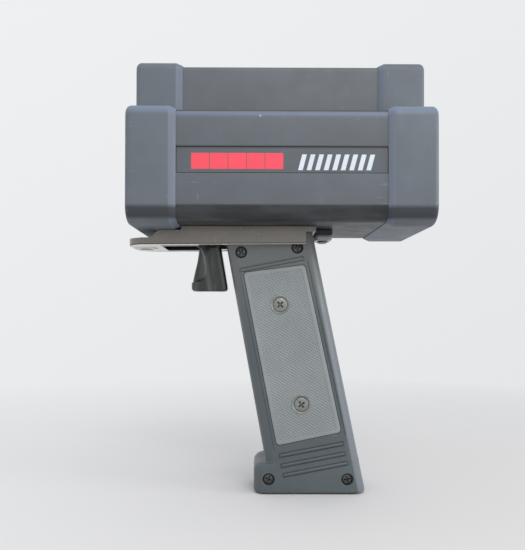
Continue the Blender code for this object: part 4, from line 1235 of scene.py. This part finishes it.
# (Z, X) down each line of the trigger's side
TRIGGER_FRONT = ((167.0, -76.0), (162.4, -76.2), (156.0, -77.2), (149.0, -78.9), (144.0, -80.0),
                 (142.3, -80.2))
TRIGGER_CREASE = (
    (167.0, -74.6), (164.5, -73.4), (159.7, -71.4), (155.5, -70.5), (151.3, -70.3), (147.5, -70.8),
    (144.6, -72.0), (143.4, -73.2), (142.8, -74.8), (142.4, -77.0), (142.3, -79.0),
)
TRIGGER_REAR = ((167.0, -60.6), (140.2, -56.1), (135.7, -55.5))
TRIGGER_LEAN = 0.165  # slope of the trigger's rear line
# bands of painted highlight down the trigger's sides, as X plus the lean times Z
HIGHLIGHT_EDGE_BAND, HIGHLIGHT_MIDDLE_BAND = (-36.6, -35.7, -34.4, -33.6), (-47.6, -46.2, -44.8, -42.6)
LIP_TOP, LIP_FRONT, LIP_ROUND = 142.2, -81.0, 2.6
REAR_ROUND = 2.4  # radius of the blade's rear corners
RING_STEP, RING_COUNT = 0.9, 27  # sections down the blade
NECK = ((-76.0, 166.0, 0), (-60.6, 166.0, 0), (-62.6, 174.2, 3.2), (-71.4, 174.2, 3.2))
PLUNGER_ARM = ((-66.0, -4.0, 165.2), (-50.0, 4.0, 168.2))  # corners of the arm that lifts the plunger
SPRING_RECESS = 4.6  # radius of the seat of the trigger's spring


def curve_at(points, z):
    """X at height z on a line through (Z, X) points that run downwards."""
    for (z1, x1), (z0, x0) in zip(points, points[1:]):
        if z >= z0:
            break
    return x0 + (x1 - x0) * min(max((z - z0) / (z1 - z0), 0.0), 1.0)


def trigger_ring(z, front, crease, rear, half, nose, dip=0.8):
    """Section of the trigger at height z. A hollow runs from its nose, nose wide, back to the crease."""
    run = crease - front
    start = front + min(0.9, run * 0.5)
    right = [(front, nose * 0.55), (front + min(0.35, run * 0.3), nose * 0.85), (start, nose)]
    for share in (0.2, 0.4, 0.6, 0.8, 0.93, 1.0):
        right.append((start + (crease - start) * share, nose + (half - nose) * share**2.4))
    for share in (0.15, 0.35, 0.5, 0.65, 0.85):
        right.append((crease + (rear - REAR_ROUND - crease) * share, half - dip * math.sin(math.pi * share)))
    for angle in arc_angles(90, 6):
        right.append((rear - REAR_ROUND * (1 - math.sin(angle)), half - REAR_ROUND * (1 - math.cos(angle))))
    ring = [(front, 0.0, z)] + [(x, y, z) for x, y in right] + [(rear, 0.0, z)]
    return ring + [(x, -y, z) for x, y in reversed(right)]


def lip_ring(z, inset, rear, half, dip):
    """Section of the lip under the finger hollow."""
    front = LIP_FRONT + inset
    return trigger_ring(z, front, front + 1.8, rear, half, half - 1.6, dip)


def build_trigger():
    """Blade with a finger hollow in its nose, a lip under it and a neck for the pin."""
    low, high = span("trigger")
    half = high.y
    scoop = bpy.context.scene.gun_metal.scoop / MM
    heights = [BLADE_TOP - RING_STEP * step for step in range(RING_COUNT)] + [143.0, 142.7, 142.5, 142.35]
    rings = []
    for z in heights:
        depth = min(1.0, max(0.25, (BLADE_TOP - z) / 9.0))
        front, crease, rear = (curve_at(line, z) for line in (TRIGGER_FRONT, TRIGGER_CREASE, TRIGGER_REAR))
        rings.append(trigger_ring(z, front, crease, rear, half, half - scoop * depth))
    upper = ((LIP_TOP, 0.7, 0.8), (LIP_TOP - 0.25, 0.25, 0.75), (LIP_TOP - 0.8, 0.0, 0.6))
    for z, inset, dip in (*upper, (low.z + LIP_ROUND, 0, 0.2)):
        rings.append(lip_ring(z, inset, curve_at(TRIGGER_REAR, z), half, dip))
    for angle in arc_angles(80, 8)[1:]:
        z, inset = low.z + LIP_ROUND * (1 - math.sin(angle)), LIP_ROUND * (1 - math.cos(angle))
        rings.append(lip_ring(z, inset, curve_at(TRIGGER_REAR, z) - inset, half - inset * 0.6, 0.1))
    pin = screw_centre("trigger_pin")
    body = carve(
        loft(rings),
        prism(rounded(NECK, 8), "Y", -half, half),
        box(*PLUNGER_ARM, 0.6, "Y"),
        operation="UNION",
    )
    body = carve(
        body,
        prism(circle(*pin, PIN_HOLE, 32), "Y", -9, 9),
        prism(circle(*pin, SPRING_RECESS, 32), "Y", 4.5, 9),
    )
    piece("trigger_blade", body, look("trigger"), "trigger_plastic", ["trigger"], "trigger_body", sharp=38)


# ---------------------------------------------------------------- fasteners and inner pieces


PAD_SCREW_SEAT, CLAMP_SCREW_SEAT = 20.7, 18.0  # how far out the heads sit
MOST_TURN = 1.4  # how far a screw's cross may be turned, in radians


def build_screws():
    """Cross-recessed screws, each turned its own way."""
    seed = bpy.context.scene.gun_stage.seed
    quarter = math.pi / 2
    for side, word in ((-1, "left"), (1, "right")):
        nodes = [f"grip_screw_{word}_{number}" for number in (1, 2)]
        places = [(x, side * PAD_SCREW_SEAT, z) for x, z in map(screw_centre, nodes)]
        head = cross_head(radius=4.6, height=1.35, shank=2.0, reach=5.4)
        copies(f"pad_screws_{word}", head, places, look("pad_screw"), "steel", (-side * quarter, 0, 0), 0.9,
               seed + side, replaced=nodes)
    nodes = [f"handle_screw_{number}" for number in range(1, 5)]
    places = [(x, -CLAMP_SCREW_SEAT, z) for x, z in map(screw_centre, nodes)]
    head = cross_head(radius=3.6, height=1.7, shank=1.5, reach=27.0, arm_share=0.68)
    copies("clamp_screws", head, places, look("dark_steel"), "dark_steel", (quarter, 0, 0), MOST_TURN, seed,
           replaced=nodes)
    nodes = [f"rear_plate_screw_{number}" for number in range(1, 5)]
    face = span("rear_plate")[1].x + GAP
    places = [(face, *((low + high) / 2).yz) for low, high in map(span, nodes)]
    head = cross_head(radius=2.6, height=1.7, shank=1.3, reach=6.2)
    copies("panel_screws", head, places, look("steel"), "steel", (0, quarter, 0), MOST_TURN, seed + 3,
           replaced=nodes)
    nodes = [f"bracket_screw_{number}" for number in range(1, 5)]
    places = [(*((low + high) / 2).xy, low.z) for low, high in map(span, nodes)]
    sink = turned([(0, -8.2), (1.5, -8.2), (1.5, -1.6), (2.9, -0.1), (2.8, 0), (0, 0)], "Z", (0, 0), 32)
    slots = [box((-1.7, -0.4, -1.1), (1.7, 0.4, 1)), box((-0.4, -1.7, -1.1), (0.4, 1.7, 1))]
    copies("bracket_screws", carve(sink, *slots), places, look("steel"), "steel", (math.pi, 0, 0),
           MOST_TURN, seed + 5, replaced=nodes)


def finish_inner_nodes():
    """Materials for the CAD solids that stay."""
    finishes = {
        "rubber": ("front_gasket", "rear_gasket"),
        "dark_steel": ("detector_module", "laser_module"),
        "board": ("main_board", "control_board"),
        "black": ("sight_emitter", "trigger_switch"),
        "window": ("sight_combiner", "sight_front_window", "sight_rear_window"),
        "battery": ("battery_pack",),
        "steel": ("trigger_pin", "trigger_spring", "switch_plunger", "latch_spring"),
    }
    for name, nodes in finishes.items():
        for node in nodes:
            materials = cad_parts[node].data.materials
            materials.clear()
            materials.append(look(name))


# ---------------------------------------------------------------- stage


def build_stage():
    settings = bpy.context.scene.gun_stage
    floor = bmesh.new()
    bmesh.ops.create_circle(floor, cap_ends=True, segments=96, radius=settings.floor_radius / MM)
    bmesh.ops.translate(floor, verts=floor.verts, vec=(0, 0, -0.05))
    floor = plain_object("floor", floor)
    floor.data.materials.append(floor_material(settings))
    build_world(settings)
    build_lights(settings)
    build_camera(settings)


def floor_material(settings):
    """Pale matt board that fades out into the room round its rim."""
    made, tree, shader, where = start("pale_floor")
    # painted shade: the floor is darker towards +X
    east = add(tree, "ShaderNodeSeparateXYZ", {0: where}).outputs["X"]
    tone = blend_colour(tree, level(tree, east, -0.2, 0.35), linear("dedddd"), linear("c9c7c7"))
    link(tree, tone, shader, "Base Color")
    shader.inputs["Roughness"].default_value = 0.8
    shader.inputs["Specular IOR Level"].default_value = 0.1
    distance = add(tree, "ShaderNodeVectorMath", {0: where}, operation="LENGTH").outputs["Value"]
    fade = level(tree, distance, settings.floor_radius * 0.2, settings.floor_radius * 0.95)
    clear = add(tree, "ShaderNodeBsdfTransparent")
    mixed = add(tree, "ShaderNodeMixShader", {0: fade, 1: shader.outputs[0], 2: clear.outputs[0]})
    tree.links.new(mixed.outputs[0], tree.nodes["Material Output"].inputs["Surface"])
    return made


def build_world(settings):
    """Even pale room, a little darker low down on the right."""
    world = bpy.data.worlds.new("pale_room")
    world.use_nodes = True
    tree = world.node_tree
    where = add(tree, "ShaderNodeTexCoord").outputs["Generated"]
    slope = add(tree, "ShaderNodeVectorMath", {0: where, 1: (-0.35, 0.0, 0.6)}, operation="DOT_PRODUCT")
    share = level(tree, slope.outputs["Value"], -0.5, 0.5)
    sky = list(settings.sky)
    colour = blend_colour(tree, share, shade(sky, 0.88), shade(sky, 1.04))
    height = add(tree, "ShaderNodeSeparateXYZ", {0: where}).outputs["Z"]
    colour = blend_colour(tree, level(tree, height, -0.42, -0.75), colour, shade(sky, 0.25))
    tree.links.new(colour, tree.nodes["Background"].inputs["Color"])
    bpy.context.scene.world = world
    bpy.context.scene.view_settings.view_transform = "Standard"


# where the lights point, where the camera stands and how it is turned, in metres and degrees
AIM = (-0.02, 0.0, 0.17)
CAMERA_PLACE = (-0.0338, -0.4413, 0.1228)
YAW, PITCH, ROLL = -0.28, 0.66, 0.12
CAMERA_SHIFT = 0.051


def build_lights(settings):
    """Soft key light over the gun's left side, and a weaker one from behind the gun."""
    lights = (
        ("key_light", (0.25, -0.85, 0.95), 0.8, settings.key),
        ("side_light", (1.1, -0.35, 0.4), 0.6, settings.key * 0.9),
    )
    for name, place, size, power in lights:
        light = bpy.data.lights.new(name, "AREA")
        light.shape = "DISK"
        light.size = size
        light.energy = power
        made = bpy.data.objects.new(name, light)
        made.location = place
        made.rotation_euler = (Vector(AIM) - made.location).to_track_quat("-Z", "Y").to_euler()
        bpy.context.scene.collection.objects.link(made)


def build_camera(settings):
    """Level side view from the gun's left, a little below the housing."""
    data = bpy.data.cameras.new("camera")
    data.lens = settings.lens
    data.clip_start = 0.01
    data.shift_y = CAMERA_SHIFT
    made = bpy.data.objects.new("camera", data)
    turns = ((math.radians(YAW), "Z"), (math.pi / 2 + math.radians(PITCH), "X"), (math.radians(ROLL), "Z"))
    yaw, pitch, roll = (Matrix.Rotation(angle, 4, axis) for angle, axis in turns)
    made.matrix_world = Matrix.Translation(CAMERA_PLACE) @ yaw @ pitch @ roll
    bpy.context.scene.collection.objects.link(made)
    bpy.context.scene.camera = made


# ---------------------------------------------------------------- operators and panel


class GUN_OT_housing(bpy.types.Operator):
    """Build the extruded housing"""

    bl_idname = "gun.housing"
    bl_label = "Housing"
    bl_options = {"REGISTER", "UNDO"}

    def execute(self, context):
        build_housing()
        return {"FINISHED"}


class GUN_OT_bezels(bpy.types.Operator):
    """Build the front and rear bezels"""

    bl_idname = "gun.bezels"
    bl_label = "Bezels"
    bl_options = {"REGISTER", "UNDO"}

    def execute(self, context):
        build_bezel("front_bezel", span("front_bezel")[0].x, 1)
        build_bezel("rear_bezel", span("rear_bezel")[1].x, -1)
        return {"FINISHED"}


class GUN_OT_labels(bpy.types.Operator):
    """Build the printed side labels"""

    bl_idname = "gun.labels"
    bl_label = "Side Labels"
    bl_options = {"REGISTER", "UNDO"}

    def execute(self, context):
        build_label(-1, "left")
        build_label(1, "right")
        return {"FINISHED"}


class GUN_OT_optics(bpy.types.Operator):
    """Build the lens plate, lenses and barrels"""

    bl_idname = "gun.optics"
    bl_label = "Optics"
    bl_options = {"REGISTER", "UNDO"}

    def execute(self, context):
        build_optics()
        return {"FINISHED"}


class GUN_OT_rear_panel(bpy.types.Operator):
    """Build the control panel, display and keys"""

    bl_idname = "gun.rear_panel"
    bl_label = "Rear Panel"
    bl_options = {"REGISTER", "UNDO"}

    def execute(self, context):
        build_rear_panel()
        return {"FINISHED"}


class GUN_OT_bracket(bpy.types.Operator):
    """Build the bracket under the housing"""

    bl_idname = "gun.bracket"
    bl_label = "Bracket"
    bl_options = {"REGISTER", "UNDO"}

    def execute(self, context):
        build_bracket()
        return {"FINISHED"}


class GUN_OT_latch(bpy.types.Operator):
    """Build the release button and its surround"""

    bl_idname = "gun.latch"
    bl_label = "Latch"
    bl_options = {"REGISTER", "UNDO"}

    def execute(self, context):
        build_latch()
        return {"FINISHED"}


class GUN_OT_grip_shells(bpy.types.Operator):
    """Build the grip's two shells with their ribs"""

    bl_idname = "gun.grip_shells"
    bl_label = "Grip Shells"
    bl_options = {"REGISTER", "UNDO"}

    def execute(self, context):
        build_shell(-1, "left")
        build_shell(1, "right")
        return {"FINISHED"}


class GUN_OT_grip_pads(bpy.types.Operator):
    """Build the knurled grip pads"""

    bl_idname = "gun.grip_pads"
    bl_label = "Grip Pads"
    bl_options = {"REGISTER", "UNDO"}

    def execute(self, context):
        build_pad(-1, "left")
        build_pad(1, "right")
        return {"FINISHED"}


class GUN_OT_foot(bpy.types.Operator):
    """Build the rubber foot and the power inlet"""

    bl_idname = "gun.foot"
    bl_label = "Foot and Inlet"
    bl_options = {"REGISTER", "UNDO"}

    def execute(self, context):
        build_foot()
        return {"FINISHED"}


class GUN_OT_trigger(bpy.types.Operator):
    """Build the trigger"""

    bl_idname = "gun.trigger"
    bl_label = "Trigger"
    bl_options = {"REGISTER", "UNDO"}

    def execute(self, context):
        build_trigger()
        return {"FINISHED"}


class GUN_OT_screws(bpy.types.Operator):
    """Build the cross-recessed screws"""

    bl_idname = "gun.screws"
    bl_label = "Screws"
    bl_options = {"REGISTER", "UNDO"}

    def execute(self, context):
        build_screws()
        return {"FINISHED"}


class GUN_OT_inner(bpy.types.Operator):
    """Finish the inner parts that keep their CAD shape"""

    bl_idname = "gun.inner"
    bl_label = "Inner Parts"
    bl_options = {"REGISTER", "UNDO"}

    def execute(self, context):
        finish_inner_nodes()
        return {"FINISHED"}


class GUN_OT_stage(bpy.types.Operator):
    """Build the floor, room, lights and camera"""

    bl_idname = "gun.stage"
    bl_label = "Stage"
    bl_options = {"REGISTER", "UNDO"}

    def execute(self, context):
        build_stage()
        return {"FINISHED"}


STEPS = (
    GUN_OT_housing, GUN_OT_bezels, GUN_OT_labels, GUN_OT_optics, GUN_OT_rear_panel, GUN_OT_bracket,
    GUN_OT_latch,
    GUN_OT_grip_shells, GUN_OT_grip_pads, GUN_OT_foot, GUN_OT_trigger, GUN_OT_screws, GUN_OT_inner,
    GUN_OT_stage,
)
GROUPS = {
    "gun_body": BodySettings,
    "gun_grip": GripSettings,
    "gun_metal": MetalSettings,
    "gun_stage": StageSettings,
}


class GUN_PT_panel(bpy.types.Panel):
    """Sidebar panel with the build steps and their settings"""

    bl_idname = "GUN_PT_panel"
    bl_label = "Speed Gun"
    bl_space_type = "VIEW_3D"
    bl_region_type = "UI"
    bl_category = "Speed Gun"

    def draw(self, context):
        for step in STEPS:
            self.layout.operator(step.bl_idname)
        for key, group in GROUPS.items():
            box_layout = self.layout.box()
            for name in group.__annotations__:
                box_layout.prop(getattr(context.scene, key), name)


def register():
    for made in (*GROUPS.values(), *STEPS, GUN_PT_panel):
        bpy.utils.register_class(made)
    for key, group in GROUPS.items():
        setattr(bpy.types.Scene, key, PointerProperty(type=group))


def unregister():
    for key in GROUPS:
        delattr(bpy.types.Scene, key)
    for made in reversed((*GROUPS.values(), *STEPS, GUN_PT_panel)):
        bpy.utils.unregister_class(made)


def main():
    register()
    for step in STEPS:
        space, name = step.bl_idname.split(".")
        getattr(getattr(bpy.ops, space), name)()


if __name__ == "__main__":
    main()
